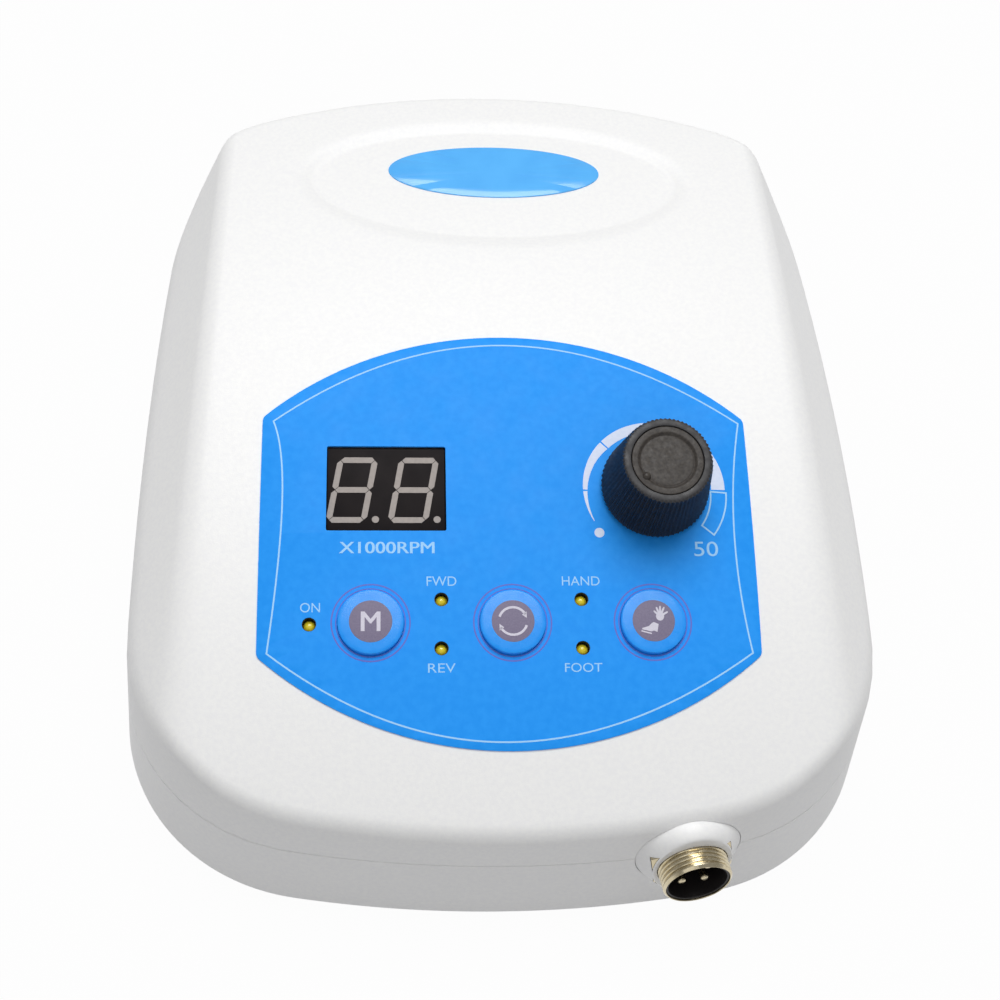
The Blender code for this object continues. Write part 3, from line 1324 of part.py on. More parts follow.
def make_switch():
    frame = rear_frame(SWITCH_X)
    face = GAP + BEZEL_THICKNESS
    pivot = face - ROCKER_PIVOT_DEPTH
    bm = bmesh.new()
    add_centred_block(bm, BEZEL_WIDTH, BEZEL_HEIGHT, GAP, face)
    holder = solid_object("switch_frame", bm, "black_plastic", frame)
    body = bmesh.new()
    add_centred_block(body, SWITCH_BODY_WIDTH, SWITCH_BODY_HEIGHT, -SWITCH_BODY_DEPTH,
                      face - BEZEL_THICKNESS / 2)
    boolean(holder, "UNION", solid_cutter("switch_body", body, frame))
    cavity = bmesh.new()
    add_centred_block(cavity, ROCKER_WIDTH + 2 * GAP, 2 * (ROCKER_RADIUS + GAP),
                      face - ROCKER_CAVITY_DEPTH, face + CUT_OVERRUN)
    boolean(holder, "DIFFERENCE", solid_cutter("rocker_cavity", cavity, frame))
    across = frame @ Matrix.Translation((0, 0, pivot)) @ Matrix.Rotation(math.pi / 2, 4, "Y")
    reach = ROCKER_WIDTH / 2 + PIVOT_LENGTH + GAP
    bearings = bmesh.new()
    add_cylinder(bearings, PIVOT_RADIUS + GAP, -reach, reach, sides=SMALL_SIDES)
    boolean(holder, "DIFFERENCE", solid_cutter("rocker_bearings", bearings, across))

    spread = math.asin(ROCKER_THICKNESS / 2 / ROCKER_RADIUS)
    angles = [spread * (2 * step / ROCKER_ARC_STEPS - 1) for step in range(ROCKER_ARC_STEPS + 1)]
    right = [(ROCKER_RADIUS * math.cos(a), ROCKER_RADIUS * math.sin(a)) for a in angles]
    outline = right + [(0, ROCKER_THICKNESS * ROCKER_DIP_SHARE)]
    outline += [(-x, y) for x, y in reversed(right)]
    # The outline is drawn with X along the rocker's height and Y out of the panel
    tilt = Matrix.Rotation(ROCKER_TILT, 4, "X")
    lay = Matrix(((0, 0, 1, 0), (1, 0, 0, 0), (0, 1, 0, 0), (0, 0, 0, 1)))
    bm = bmesh.new()
    add_prism(bm, outline, -ROCKER_WIDTH / 2, ROCKER_WIDTH / 2, lay)
    place = frame @ Matrix.Translation((0, 0, pivot)) @ tilt
    rocker = solid_object("switch_rocker", bm, "black_plastic", place)
    pins = bmesh.new()
    pin_reach = ROCKER_WIDTH / 2 + PIVOT_LENGTH
    add_cylinder(pins, PIVOT_RADIUS, -pin_reach, pin_reach, sides=SMALL_SIDES)
    boolean(rocker, "UNION", solid_cutter("pivot_pins", pins, across))


def make_inlet():
    frame = rear_frame(INLET_X)
    face = GAP + INLET_FLANGE
    floor = INLET_FLOOR - INLET_BODY_DEPTH
    bm = bmesh.new()
    add_centred_block(bm, INLET_FLANGE_WIDTH, INLET_FLANGE_HEIGHT, GAP, face)
    inlet = solid_object("mains_inlet", bm, "black_plastic", frame)
    body = bmesh.new()
    add_centred_block(body, INLET_BODY_WIDTH, INLET_BODY_HEIGHT, -INLET_BODY_DEPTH,
                      face - INLET_FLANGE / 2)
    boolean(inlet, "UNION", solid_cutter("inlet_body", body, frame))
    cavity = bmesh.new()
    add_inlet_outline(cavity, INLET_CAVITY_WIDTH, INLET_CAVITY_HEIGHT, floor, face + CUT_OVERRUN)
    boolean(inlet, "DIFFERENCE", solid_cutter("inlet_cavity", cavity, frame))
    blades = bmesh.new()
    for place in blade_places():
        add_centred_block(blades, BLADE_WIDTH, BLADE_HEIGHT, -(INLET_BODY_DEPTH + BLADE_TAIL),
                          face - BLADE_SINK, place)
    boolean(inlet, "UNION", solid_cutter("inlet_blades", blades, frame))


def blade_places():
    """Three blades in a row, the earth blade in the middle a little higher."""
    return [Matrix.Translation((step * BLADE_PITCH, 0 if step else BLADE_RAISE, 0))
            for step in (-1, 0, 1)]


def make_fuse():
    frame = rear_frame(FUSE_X)
    face = GAP + FUSE_FLANGE
    turned_object("fuse_holder",
                  [(FUSE_BORE_RADIUS, face), (FUSE_FLANGE_RADIUS, face),
                   (FUSE_FLANGE_RADIUS, GAP), (FUSE_BODY_RADIUS, GAP),
                   (FUSE_BODY_RADIUS, -FUSE_BODY_LENGTH), (0, -FUSE_BODY_LENGTH),
                   (0, WALL - FUSE_BODY_LENGTH), (FUSE_BORE_RADIUS, WALL - FUSE_BODY_LENGTH)],
                  "black_plastic", frame, closed=True)
    bottom = face + GAP
    top = bottom + FUSE_CAP_HEIGHT
    bm = bmesh.new()
    add_ribbed(bm, [(FUSE_CAP_RADIUS, bottom, FUSE_CAP_RIB_DEPTH),
                    (FUSE_CAP_RADIUS, top - FUSE_CAP_RIB_DEPTH, FUSE_CAP_RIB_DEPTH),
                    (FUSE_CAP_RADIUS - 2 * FUSE_CAP_RIB_DEPTH, top, 0)], FUSE_CAP_RIBS)
    cap = solid_object("fuse_cap", bm, "black_plastic", frame)
    carrier = bmesh.new()
    add_cylinder(carrier, FUSE_CARRIER_RADIUS, face - FUSE_CARRIER_LENGTH,
                 (bottom + top) / 2)
    boolean(cap, "UNION", solid_cutter("fuse_carrier", carrier, frame))
    slot = bmesh.new()
    add_centred_block(slot, 2 * FUSE_CAP_RADIUS + CUT_OVERRUN, FUSE_SLOT_WIDTH,
                      top - FUSE_SLOT_DEPTH, top + CUT_OVERRUN)
    boolean(cap, "DIFFERENCE", solid_cutter("fuse_slot", slot, frame))


def make_foot_socket():
    frame = rear_frame(FOOT_SOCKET_X)
    flange_top = -(PLATE_THICKNESS + GAP)
    turned_object("foot_socket_shell",
                  shell_profile(FOOT_SOCKET_RADIUS, FOOT_SOCKET_BORE_RADIUS, FOOT_SOCKET_REACH,
                                FOOT_SOCKET_FLANGE_RADIUS, flange_top, -FOOT_SOCKET_DEPTH),
                  "nickel", frame, closed=True)
    make_hex_nut("foot_socket_nut", FOOT_NUT_HALF_FLATS, FOOT_SOCKET_RADIUS + GAP, GAP,
                 FOOT_NUT_THICKNESS, frame)
    face = FOOT_SOCKET_REACH - FOOT_INSULATOR_SINK
    places = pin_places(FOOT_PIN_COUNT, FOOT_PIN_CIRCLE_RADIUS)
    make_insert("foot_socket_insert", FOOT_SOCKET_BORE_RADIUS - GAP, face, -FOOT_SOCKET_DEPTH,
                (places, FOOT_PIN_RADIUS, face + FOOT_PIN_REACH,
                 -(FOOT_SOCKET_DEPTH + FOOT_PIN_REACH)), frame)


# Mains transformer

CORE_FRAME = Matrix.Translation((CORE_X, CORE_Y, FLOOR + GAP))


def make_transformer():
    window = (CORE_WIDTH - CORE_MIDDLE_LEG) / 2 - CORE_LEG
    bm = bmesh.new()
    add_centred_block(bm, CORE_WIDTH, CORE_STACK, 0, CORE_HEIGHT)
    core = solid_object("transformer_core", bm, "laminate", CORE_FRAME)
    windows = bmesh.new()
    for side in (-1, 1):
        place = Matrix.Translation((side * (CORE_MIDDLE_LEG + window) / 2, 0, 0))
        add_centred_block(windows, window, CORE_STACK + CUT_OVERRUN, CORE_LEG,
                          CORE_HEIGHT - CORE_LEG, place)
    boolean(core, "DIFFERENCE", solid_cutter("core_windows", windows, CORE_FRAME))

    bm = bmesh.new()
    bottom, top = CORE_LEG + GAP, CORE_HEIGHT - CORE_LEG - GAP
    add_centred_block(bm, CORE_WIDTH - 2 * (CORE_LEG + GAP), COIL_DEPTH, bottom, top)
    coil = solid_object("transformer_coil", bm, "winding_tape", CORE_FRAME)
    hole = bmesh.new()
    add_centred_block(hole, CORE_MIDDLE_LEG + 2 * GAP, CORE_STACK + 2 * GAP,
                      bottom - CUT_OVERRUN, top + CUT_OVERRUN)
    boolean(coil, "DIFFERENCE", solid_cutter("coil_hole", hole, CORE_FRAME))

    inner = CORE_WIDTH / 2 + GAP
    outer = inner + STRAP_THICKNESS
    foot = outer + STRAP_FOOT
    roof = CORE_HEIGHT + GAP
    right = [(foot, 0), (foot, STRAP_THICKNESS), (outer, STRAP_THICKNESS),
             (outer, roof + STRAP_THICKNESS)]
    outline = right + [(-x, z) for x, z in reversed(right)]
    outline += [(-inner, 0), (-inner, roof), (inner, roof), (inner, 0)]
    upright = Matrix.Rotation(math.pi / 2, 4, "X")
    bm = bmesh.new()
    add_prism(bm, outline, -STRAP_WIDTH / 2, STRAP_WIDTH / 2, upright)
    strap = solid_object("transformer_bracket", bm, "steel", CORE_FRAME)
    holes = bmesh.new()
    for side in (-1, 1):
        add_cylinder(holes, STRAP_PEG_RADIUS + GAP, -CUT_OVERRUN, STRAP_THICKNESS + CUT_OVERRUN,
                     Matrix.Translation((side * STRAP_PEG_X, 0, 0)), SMALL_SIDES)
    boolean(strap, "DIFFERENCE", solid_cutter("strap_holes", holes, CORE_FRAME))


# Leads held inside the housing

def tube_mesh(name, path):
    """A round lead along a Bezier path of (start, start handle, end handle, end)."""
    start, start_handle, end_handle, end = path
    curve = bpy.data.curves.new(name, "CURVE")
    curve.dimensions = "3D"
    curve.bevel_depth = LEAD_RADIUS
    curve.bevel_resolution = 2
    curve.resolution_u = LEAD_STEPS
    curve.use_fill_caps = True
    spline = curve.splines.new("BEZIER")
    spline.bezier_points.add(1)
    first, last = spline.bezier_points
    for point in (first, last):
        point.handle_left_type = point.handle_right_type = "FREE"
    first.co, first.handle_left, first.handle_right = start, start, start_handle
    last.co, last.handle_left, last.handle_right = end, end_handle, end
    holder = bpy.data.objects.new(name, curve)
    bm = bmesh.new()
    bm.from_mesh(bpy.data.meshes.new_from_object(holder))
    bpy.data.objects.remove(holder)
    bpy.data.curves.remove(curve)
    bmesh.ops.remove_doubles(bm, verts=bm.verts, dist=MERGE)
    return finish_mesh(bm, name, SMOOTH_ANGLE)


def lead_path(start, start_way, end, end_way):
    reach = (end - start).length * HANDLE_SHARE
    return start, start + start_way * reach, end + end_way * reach, end


def add_plug(lead, u):
    """Join a lead to the plug that stands on the main board."""
    bm = bmesh.new()
    add_centred_block(bm, PLUG_WIDTH, PLUG_LENGTH, GAP, GAP + PLUG_HEIGHT,
                      Matrix.Translation((u, PLUG_V, 0)))
    boolean(lead, "UNION", solid_cutter(lead.name + "_plug", bm, MAIN_FRAME))


def make_motor_lead():
    back = -(SOCKET_FRAME.to_3x3() @ Vector((0, 0, 1)))
    tail = SOCKET_REACH - INSULATOR_SINK - INSULATOR_LENGTH - PIN_TAIL - GAP
    start = SOCKET_FRAME @ Vector((0, 0, tail))
    end = MAIN_FRAME @ Vector((MOTOR_PLUG_U, PLUG_V, PLUG_HEIGHT / 2))
    path = lead_path(start, back, end, Vector((0, 0, 1)))
    add_plug(add_object("motor_lead", tube_mesh("motor_lead", path), "lead_grey"), MOTOR_PLUG_U)


def make_mains_lead():
    start = rear_frame(INLET_X) @ Vector((0, 0, -(INLET_BODY_DEPTH + BLADE_TAIL + GAP)))
    end = Vector((CORE_X, CORE_Y + COIL_DEPTH / 2 + GAP, FLOOR + CORE_HEIGHT / 2))
    path = lead_path(start, Vector((0, -1, 0)), end, Vector((0, 1, 0)))
    add_object("mains_lead", tube_mesh("mains_lead", path), "lead_grey")


def make_ribbon():
    """A flat strip from the display board down to the main board, in one X plane."""
    start = MAIN_FRAME @ Vector((PANEL_PLUG_U, PLUG_V, PLUG_HEIGHT / 2))
    end = BOARD_FRAME @ Vector((0, RIBBON_V, -(BOARD_DEPTH + BOARD_THICKNESS + GAP)))
    down = -(BOARD_FRAME.to_3x3() @ Vector((0, 0, 1)))
    corners = lead_path(Vector((start.y, start.z)), Vector((0, 1)), Vector((end.y, end.z)),
                        Vector((down.y, down.z)))
    places, sides = [], []
    for step in range(RIBBON_STEPS + 1):
        t = step / RIBBON_STEPS
        s = 1 - t
        weights = (s ** 3, 3 * s * s * t, 3 * s * t * t, t ** 3)
        slopes = (-3 * s * s, 3 * s * s - 6 * s * t, 6 * s * t - 3 * t * t, 3 * t * t)
        places.append(sum((c * w for c, w in zip(corners, weights)), Vector((0, 0))))
        way = sum((c * w for c, w in zip(corners, slopes)), Vector((0, 0))).normalized()
        sides.append(Vector((-way.y, way.x)) * RIBBON_THICKNESS / 2)
    outline = [p + n for p, n in zip(places, sides)]
    outline += [p - n for p, n in reversed(list(zip(places, sides)))]
    lay = Matrix(((0, 0, 1, start.x), (1, 0, 0, 0), (0, 1, 0, 0), (0, 0, 0, 1)))
    bm = bmesh.new()
    add_prism(bm, [tuple(point) for point in outline], -RIBBON_WIDTH / 2, RIBBON_WIDTH / 2, lay)
    add_plug(solid_object("ribbon_cable", bm, "lead_grey"), PANEL_PLUG_U)


def place_unit():
    """Put the origin on the ground under the middle of the overall box."""
    base = level_ring(BASE_CHAMFER, 0)
    rim = [SOCKET_FRAME @ Vector((SOCKET_RADIUS * math.cos(a), SOCKET_RADIUS * math.sin(a),
                                  SOCKET_REACH))
           for a in (2 * math.pi * step / FINE_SIDES for step in range(FINE_SIDES))]
    front = min(min(point.y for point in rim), min(base[:, 1]))
    UNIT.location = (0, -(front + max(base[:, 1])) / 2, -GROUND)


make_upper_housing()
make_lower_housing()
make_case_screws()
make_rubber_feet()
make_overlay()
make_badge()
make_display()
for button_name, button_u in BUTTONS.items():
    make_button(button_name, button_u)
    make_switch_button(button_name, button_u)
for lamp_name, lamp_place in LAMP_PLACES.items():
    make_lamp(lamp_name, *lamp_place)
make_speed_control()
make_boards()
make_board_parts()
make_socket()
make_rear_plate()
make_switch()
make_inlet()
make_fuse()
make_foot_socket()
make_transformer()
make_motor_lead()
make_mains_lead()
make_ribbon()
place_unit()
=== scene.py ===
import math

import bmesh
import bpy
import numpy as np
from mathutils import Matrix, Vector


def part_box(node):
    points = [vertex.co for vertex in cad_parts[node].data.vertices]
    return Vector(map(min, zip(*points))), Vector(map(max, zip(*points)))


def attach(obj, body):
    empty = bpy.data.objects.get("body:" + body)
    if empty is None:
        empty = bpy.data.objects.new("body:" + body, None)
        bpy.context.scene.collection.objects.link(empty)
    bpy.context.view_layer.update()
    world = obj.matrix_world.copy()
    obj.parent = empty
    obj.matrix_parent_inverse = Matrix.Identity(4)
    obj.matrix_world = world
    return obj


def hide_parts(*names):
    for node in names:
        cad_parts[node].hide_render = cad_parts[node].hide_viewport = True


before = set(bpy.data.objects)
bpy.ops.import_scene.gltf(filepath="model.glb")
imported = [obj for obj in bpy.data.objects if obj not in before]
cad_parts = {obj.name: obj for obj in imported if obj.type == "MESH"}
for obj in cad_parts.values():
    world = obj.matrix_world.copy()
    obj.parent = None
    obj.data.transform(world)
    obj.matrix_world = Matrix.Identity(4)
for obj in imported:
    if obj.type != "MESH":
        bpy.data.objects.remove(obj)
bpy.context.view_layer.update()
mm = 0.001


# Values written in millimetres, singly or in tuples, with others that are not lengths
def inMm(lengths, others=None):
    def scaled(value):
        return tuple(map(scaled, value)) if isinstance(value, tuple) else value * mm

    return {name: scaled(value) for name, value in lengths.items()} | (others or {})


# Modelling helpers

def deselect():
    for piece in bpy.context.selected_objects:
        piece.select_set(False)


def makeActive(piece):
    deselect()
    piece.select_set(True)
    bpy.context.view_layer.objects.active = piece


# Merges doubled points and turns the faces outward
def cleanUp(piece):
    makeActive(piece)
    bpy.ops.object.mode_set(mode="EDIT")
    bpy.ops.mesh.select_all(action="SELECT")
    bpy.ops.mesh.remove_doubles(threshold=0.000001)
    bpy.ops.mesh.normals_make_consistent(inside=False)
    work = bmesh.from_edit_mesh(piece.data)
    if work.calc_volume(signed=True) < 0:
        bpy.ops.mesh.flip_normals()
    bpy.ops.object.mode_set(mode="OBJECT")


# A grid wrapped round into a closed surface, one row of points for each ring
def wrapGrid(name, rings):
    rings = np.asarray(rings, dtype=float)
    count, sectors = rings.shape[:2]
    deselect()
    bpy.ops.mesh.primitive_grid_add(x_subdivisions=sectors, y_subdivisions=count - 1)
    piece = bpy.context.object
    piece.name = name
    piece.data.name = name
    closed = np.concatenate([rings, rings[:, :1]], axis=1)
    piece.data.vertices.foreach_set("co", closed.ravel())
    piece.data.update()
    cleanUp(piece)
    return piece


# Points of a curve that leaves start and reaches end along the lines to middle
def curve(start, middle, end, steps):
    return [tuple(start * (1 - t) ** 2 + middle * (2 * t * (1 - t)) + end * t ** 2)
            for t in (step / steps for step in range(steps + 1))]


# Rounds the corners of a profile; a third value on a point is the rounding's reach
def softened(points, steps=4):
    result = []
    for index, (across, up, *reach) in enumerate(points):
        here = Vector((across, up))
        if not reach:
            result.append((across, up))
            continue
        before = Vector(points[index - 1][:2])
        after = Vector(points[(index + 1) % len(points)][:2])
        start = here + (before - here).normalized() * reach[0]
        end = here + (after - here).normalized() * reach[0]
        result += curve(start, here, end, steps)
    return result


def circle(count, start=0.0):
    angles = (np.arange(count) + start) * 2 * math.pi / count
    return np.column_stack([np.cos(angles), np.sin(angles)])


def atHeight(flat, height):
    return np.column_stack([flat, np.broadcast_to(height, len(flat))])


# Turns a profile of (radius, height) about Z
def lathe(name, profile, sides=96, place=None):
    piece = wrapGrid(name, [atHeight(circle(sides) * radius, height)
                            for radius, height in profile])
    if place is not None:
        piece.data.transform(place)
    return piece


# Names the primitive just added and writes its place into its mesh
def settle(name, place=None):
    piece = bpy.context.object
    piece.name = name
    bpy.ops.object.transform_apply(location=True, rotation=True, scale=True)
    if place is not None:
        piece.data.transform(place)
    return piece


def block(name, low, high, place=None):
    middle = (Vector(low) + Vector(high)) / 2
    deselect()
    bpy.ops.mesh.primitive_cube_add(size=1, location=middle, scale=Vector(high) - Vector(low))
    return settle(name, place)


def rod(name, radius, low, high, place=None, sides=64):
    deselect()
    bpy.ops.mesh.primitive_cylinder_add(vertices=sides, radius=radius, depth=high - low,
                                        location=(0, 0, (low + high) / 2))
    return settle(name, place)


def join(name, pieces):
    makeActive(pieces[0])
    for piece in pieces[1:]:
        piece.select_set(True)
    if len(pieces) > 1:
        bpy.ops.object.join()
    pieces[0].name = name
    pieces[0].data.name = name
    return pieces[0]


def cut(piece, tool, operation="DIFFERENCE"):
    makeActive(piece)
    change = piece.modifiers.new("cut", "BOOLEAN")
    change.operation = operation
    change.object = tool
    change.solver = "MANIFOLD"
    bpy.ops.object.modifier_apply(modifier=change.name)
    bpy.data.objects.remove(tool)


def bevel(piece, width, segments=3, angle=30):
    makeActive(piece)
    change = piece.modifiers.new("edges", "BEVEL")
    change.width = width
    change.segments = segments
    change.limit_method = "ANGLE"
    change.angle_limit = math.radians(angle)
    bpy.ops.object.modifier_apply(modifier=change.name)


# Shades a piece, gives it its material and says what it moves with and stands for
def finish(piece, look, body="unit", nodes=(), slot=None, angle=35):
    makeActive(piece)
    bpy.ops.object.shade_smooth_by_angle(angle=math.radians(angle))
    piece.data.materials.clear()
    piece.data.materials.append(look)
    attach(piece, body)
    if nodes:
        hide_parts(*nodes)
    return piece


def getPoints(piece):
    points = np.empty(len(piece.data.vertices) * 3)
    piece.data.vertices.foreach_get("co", points)
    return points.reshape(-1, 3)


def setPoints(piece, points):
    piece.data.vertices.foreach_set("co", np.ascontiguousarray(points).ravel())
    piece.data.update()


# Materials

# The linear colour of an sRGB hex code
def linear(code):
    values = [int(code[index:index + 2], 16) / 255 for index in (1, 3, 5)]
    return tuple(v / 12.92 if v <= 0.04045 else ((v + 0.055) / 1.055) ** 2.4
                 for v in values) + (1.0,)


def addNode(tree, kind, inputs=None, **settings):
    node = tree.nodes.new(kind)
    for name, value in settings.items():
        setattr(node, name, value)
    for socket, value in (inputs or {}).items():
        if isinstance(value, bpy.types.NodeSocket):
            tree.links.new(value, node.inputs[socket])
        else:
            node.inputs[socket].default_value = value
    return node


# A Principled material with its pattern in real sizes, in millimetres. mottle is (second
# colour, size, share), grain is (size, height) of the fine relief and wear is (size,
# change) of the roughness.
def makeLook(name, colour, roughness=0.5, metallic=0.0, mottle=None, grain=None, wear=None,
             coat=0.0, sheen=0.0, specular=0.5):
    look = bpy.data.materials.new(name)
    look.use_nodes = True
    tree = look.node_tree
    shader = tree.nodes["Principled BSDF"]
    for socket, value in (("Base Color", linear(colour)), ("Roughness", roughness),
                          ("Metallic", metallic), ("Coat Weight", coat),
                          ("Coat Roughness", 0.06), ("Sheen Weight", sheen),
                          ("Specular IOR Level", specular)):
        shader.inputs[socket].default_value = value
    place = addNode(tree, "ShaderNodeTexCoord").outputs["Object"]

    def noise(size, detail):
        return addNode(tree, "ShaderNodeTexNoise", {"Vector": place, "Scale": 1 / (size * mm),
                                                    "Detail": detail}).outputs["Fac"]

    def spread(value, low, high, first, last):
        return addNode(tree, "ShaderNodeMapRange",
                       {"Value": value, "From Min": low, "From Max": high,
                        "To Min": first, "To Max": last}).outputs["Result"]

    if mottle:
        second, size, share = mottle
        mix = addNode(tree, "ShaderNodeMix",
                      {"Factor": spread(noise(size, 4.0), 0.35, 0.65, 0.0, share)},
                      data_type="RGBA")
        for socket in mix.inputs:
            if socket.type == "RGBA":
                socket.default_value = linear(colour if socket.name == "A" else second)
        output = [socket for socket in mix.outputs if socket.type == "RGBA"][0]
        tree.links.new(output, shader.inputs["Base Color"])
    if wear:
        size, change = wear
        tree.links.new(spread(noise(size, 3.0), 0.3, 0.7, roughness - change,
                              roughness + change), shader.inputs["Roughness"])
    if grain:
        size, height = grain
        relief = addNode(tree, "ShaderNodeBump", {"Height": noise(size, 2.0),
                                                  "Distance": height * mm, "Strength": 1.0})
        tree.links.new(relief.outputs["Normal"], shader.inputs["Normal"])
    return look


# Moulded white ABS with a fine spark-eroded grain: a soft sheen with tiny sparkles
whiteLook = makeLook("whiteMouldedAbs", "#F4F4F3", 0.42, mottle=("#ECECEE", 0.9, 0.5),
                     grain=(0.32, 0.018), wear=(0.6, 0.08))
# Polyester overlay film printed blue from behind: even, satin, faint emboss
blueLook = makeLook("bluePrintedFilm", "#1F97FA", 0.5, mottle=("#2A9FFF", 1.6, 0.7),
                    grain=(0.25, 0.004), wear=(5, 0.05), specular=0.15)
# Domed resin over a lighter blue print on the badge
badgeLook = makeLook("badgeBlueResin", "#55B7FE", 0.25, mottle=("#4BADF8", 6, 0.6), coat=0.4)
# Pale screen ink of the wedge and the dot: chalky lavender white
inkLook = makeLook("paleScreenInk", "#DDE6FC", 0.5, mottle=("#CFDDF6", 0.8, 0.5),
                   grain=(0.15, 0.003), specular=0.2)
# Cyan ink of the border line and the open box: a thin bright line on the blue
lineLook = makeLook("cyanScreenInk", "#A9DAFF", 0.5, mottle=("#98CFFC", 0.8, 0.5),
                    grain=(0.15, 0.003), specular=0.2)
# Light blue ink of the words: even, with soft edges to the eye
wordLook = makeLook("lightBlueScreenInk", "#A4D6FF", 0.5, mottle=("#93CBFB", 0.5, 0.5),
                    grain=(0.15, 0.003), specular=0.2)
# Mauve ring printed round each key
mauveLook = makeLook("mauveScreenInk", "#6A72C8", 0.5, mottle=("#5F78D8", 0.8, 0.6), specular=0.2)
# Clear silicone key over blue, glossy and slightly soft
keyLook = makeLook("blueClearSilicone", "#1F95F8", 0.3, mottle=("#2FA0FF", 2.5, 0.7), coat=0.08,
                   wear=(2, 0.05), specular=0.25)
# Grey mauve disc under the clear key
discLook = makeLook("mauveGreyPrint", "#7F7790", 0.45,
                    mottle=("#726B84", 0.35, 0.7), specular=0.25)
# Pale ink of the icons on the discs
iconLook = makeLook("paleGreyIconInk", "#D6D3E0", 0.45,
                    mottle=("#C8C5D6", 0.3, 0.6), specular=0.25)
# Smoked window of the display: brown black and satin
windowLook = makeLook("smokedDisplayWindow", "#1E191A", 0.5, mottle=("#171315", 4, 0.6),
                      wear=(8, 0.04), specular=0.08)
# Unlit segments: dull warm grey behind the window
segmentLook = makeLook("unlitSegmentGrey", "#AAA29D", 0.5,
                       mottle=("#9C9591", 0.8, 0.6), specular=0.15)
# Yellow epoxy lens of the lamps: a bright point with a wet highlight
lampLook = makeLook("yellowEpoxyLens", "#F4E03A", 0.22, mottle=("#E0C824", 0.7, 0.6), coat=0.4)
# Black sleeve round each lamp lens, a dark part placed as painted shade: it makes the upper wall
# of each lamp hole look shaded
lampHoleShadeLook = makeLook("darkLampSleeve", "#1B1E1A", 0.5, mottle=("#26281F", 0.6, 0.6))
# Black phenolic of the knob: dull, its ribs worn unevenly
knobLook = makeLook("blackRibbedPlastic", "#232326", 0.5, mottle=("#2D2C30", 1.2, 0.7),
                    grain=(0.2, 0.008), wear=(1.5, 0.1))
# Brown grey cap of the knob: grainy, with a dusty bloom
capLook = makeLook("darkGreyCapPlastic", "#35312F", 0.5, mottle=("#46413C", 0.6, 0.9),
                   grain=(0.22, 0.016), wear=(1.0, 0.12), specular=0.3)
# Warm nickel plate on brass: yellowish glints along the thread
nickelLook = makeLook("warmNickelPlate", "#D2C7AC", 0.24, 1.0, mottle=("#BBAD8C", 2, 0.7),
                      grain=(0.4, 0.006), wear=(1.2, 0.09))
# Zinc plate of the screws: cool, faintly cloudy
steelLook = makeLook("zincPlatedSteel", "#B9BABD", 0.34, 1.0, mottle=("#A6A7AB", 1.5, 0.6),
                     grain=(0.3, 0.004), wear=(1.0, 0.1))
# Bare extruded aluminium: pale and satin
aluminiumLook = makeLook("extrudedAluminium", "#C6C8CB", 0.4, 1.0, mottle=("#B7B9BD", 2, 0.6),
                         wear=(1.5, 0.1))
# Stacked steel sheets of the transformer: dark, finely streaked
laminateLook = makeLook("siliconSteelLaminate", "#7C7E82", 0.42, 1.0, mottle=("#62646A", 0.5, 0.9),
                        wear=(0.5, 0.12))
# Black moulded plastic of the rear fittings and the inner parts: fine matt grain
blackLook = makeLook("blackMouldedPlastic", "#1C1C1E", 0.42, mottle=("#242427", 1, 0.7),
                     grain=(0.25, 0.01), wear=(1, 0.08))
# Insulator in the sockets: a deep black hole to the eye
insulatorLook = makeLook("blackInsulator", "#120E10", 0.5, mottle=("#1B1618", 0.8, 0.7))
# Painted rear plate: a slightly greyer white than the housing
greyPlateLook = makeLook("whitePaintedPlate", "#E9E9E8", 0.48, mottle=("#DFDFDF", 1, 0.5),
                         grain=(0.3, 0.012), wear=(0.8, 0.06))
# Yellow tape round the winding: waxy, lightly creased
windingLook = makeLook("yellowWindingTape", "#D9C24A", 0.45, mottle=("#C6AE3C", 3, 0.7),
                       grain=(0.5, 0.02))
# Green solder mask: glossy lacquer over copper
boardLook = makeLook("greenSolderMask", "#1E6B3C", 0.35, mottle=("#175A31", 1.2, 0.9), coat=0.2)
# Grey rubber of the feet: dead matt
rubberLook = makeLook("greyRubber", "#55565A", 0.75, mottle=("#4B4C50", 1.2, 0.7),
                      grain=(0.3, 0.02), sheen=0.15)
# Grey PVC of the leads: smooth and soft
leadLook = makeLook("greyPvcLead", "#8B8D92", 0.45, mottle=("#7F8186", 2, 0.6))
print("materials made")


# Camera at the photograph's place

def makeCamera():
    view = {"lens": 53.824, "shiftX": 0.01592, "shiftY": 0.03106,
            "place": (-0.026908, -0.210083, 0.311307),
            "pitch": 0.956698, "yaw": 0.120949, "roll": 0.100784}
    sinPitch, cosPitch = math.sin(view["pitch"]), math.cos(view["pitch"])
    sinYaw, cosYaw = math.sin(view["yaw"]), math.cos(view["yaw"])
    forward = Vector((sinYaw * cosPitch, cosYaw * cosPitch, -sinPitch))
    level = Vector((cosYaw, -sinYaw, 0))
    rise = level.cross(forward)
    right = math.cos(view["roll"]) * level + math.sin(view["roll"]) * rise
    up = -math.sin(view["roll"]) * level + math.cos(view["roll"]) * rise
    turn = Matrix((right, up, -forward)).transposed().to_4x4()
    bpy.ops.object.camera_add()
    camera = bpy.context.object
    camera.name = "photoCamera"
    camera.matrix_world = Matrix.Translation(view["place"]) @ turn
    camera.data.lens = view["lens"]
    camera.data.sensor_width = 36
    camera.data.shift_x = view["shiftX"]
    camera.data.shift_y = view["shiftY"]
    camera.data.clip_start = 0.01
    bpy.context.scene.camera = camera


# Light: a pale room, a wide soft lamp above and a weaker one in front

def anyRay(tree, first, *others):
    path = addNode(tree, "ShaderNodeLightPath")
    seen = path.outputs[first]
    for other in others:
        seen = addNode(tree, "ShaderNodeMath", {0: seen, 1: path.outputs[other]},
                       operation="MAXIMUM").outputs[0]
    return seen


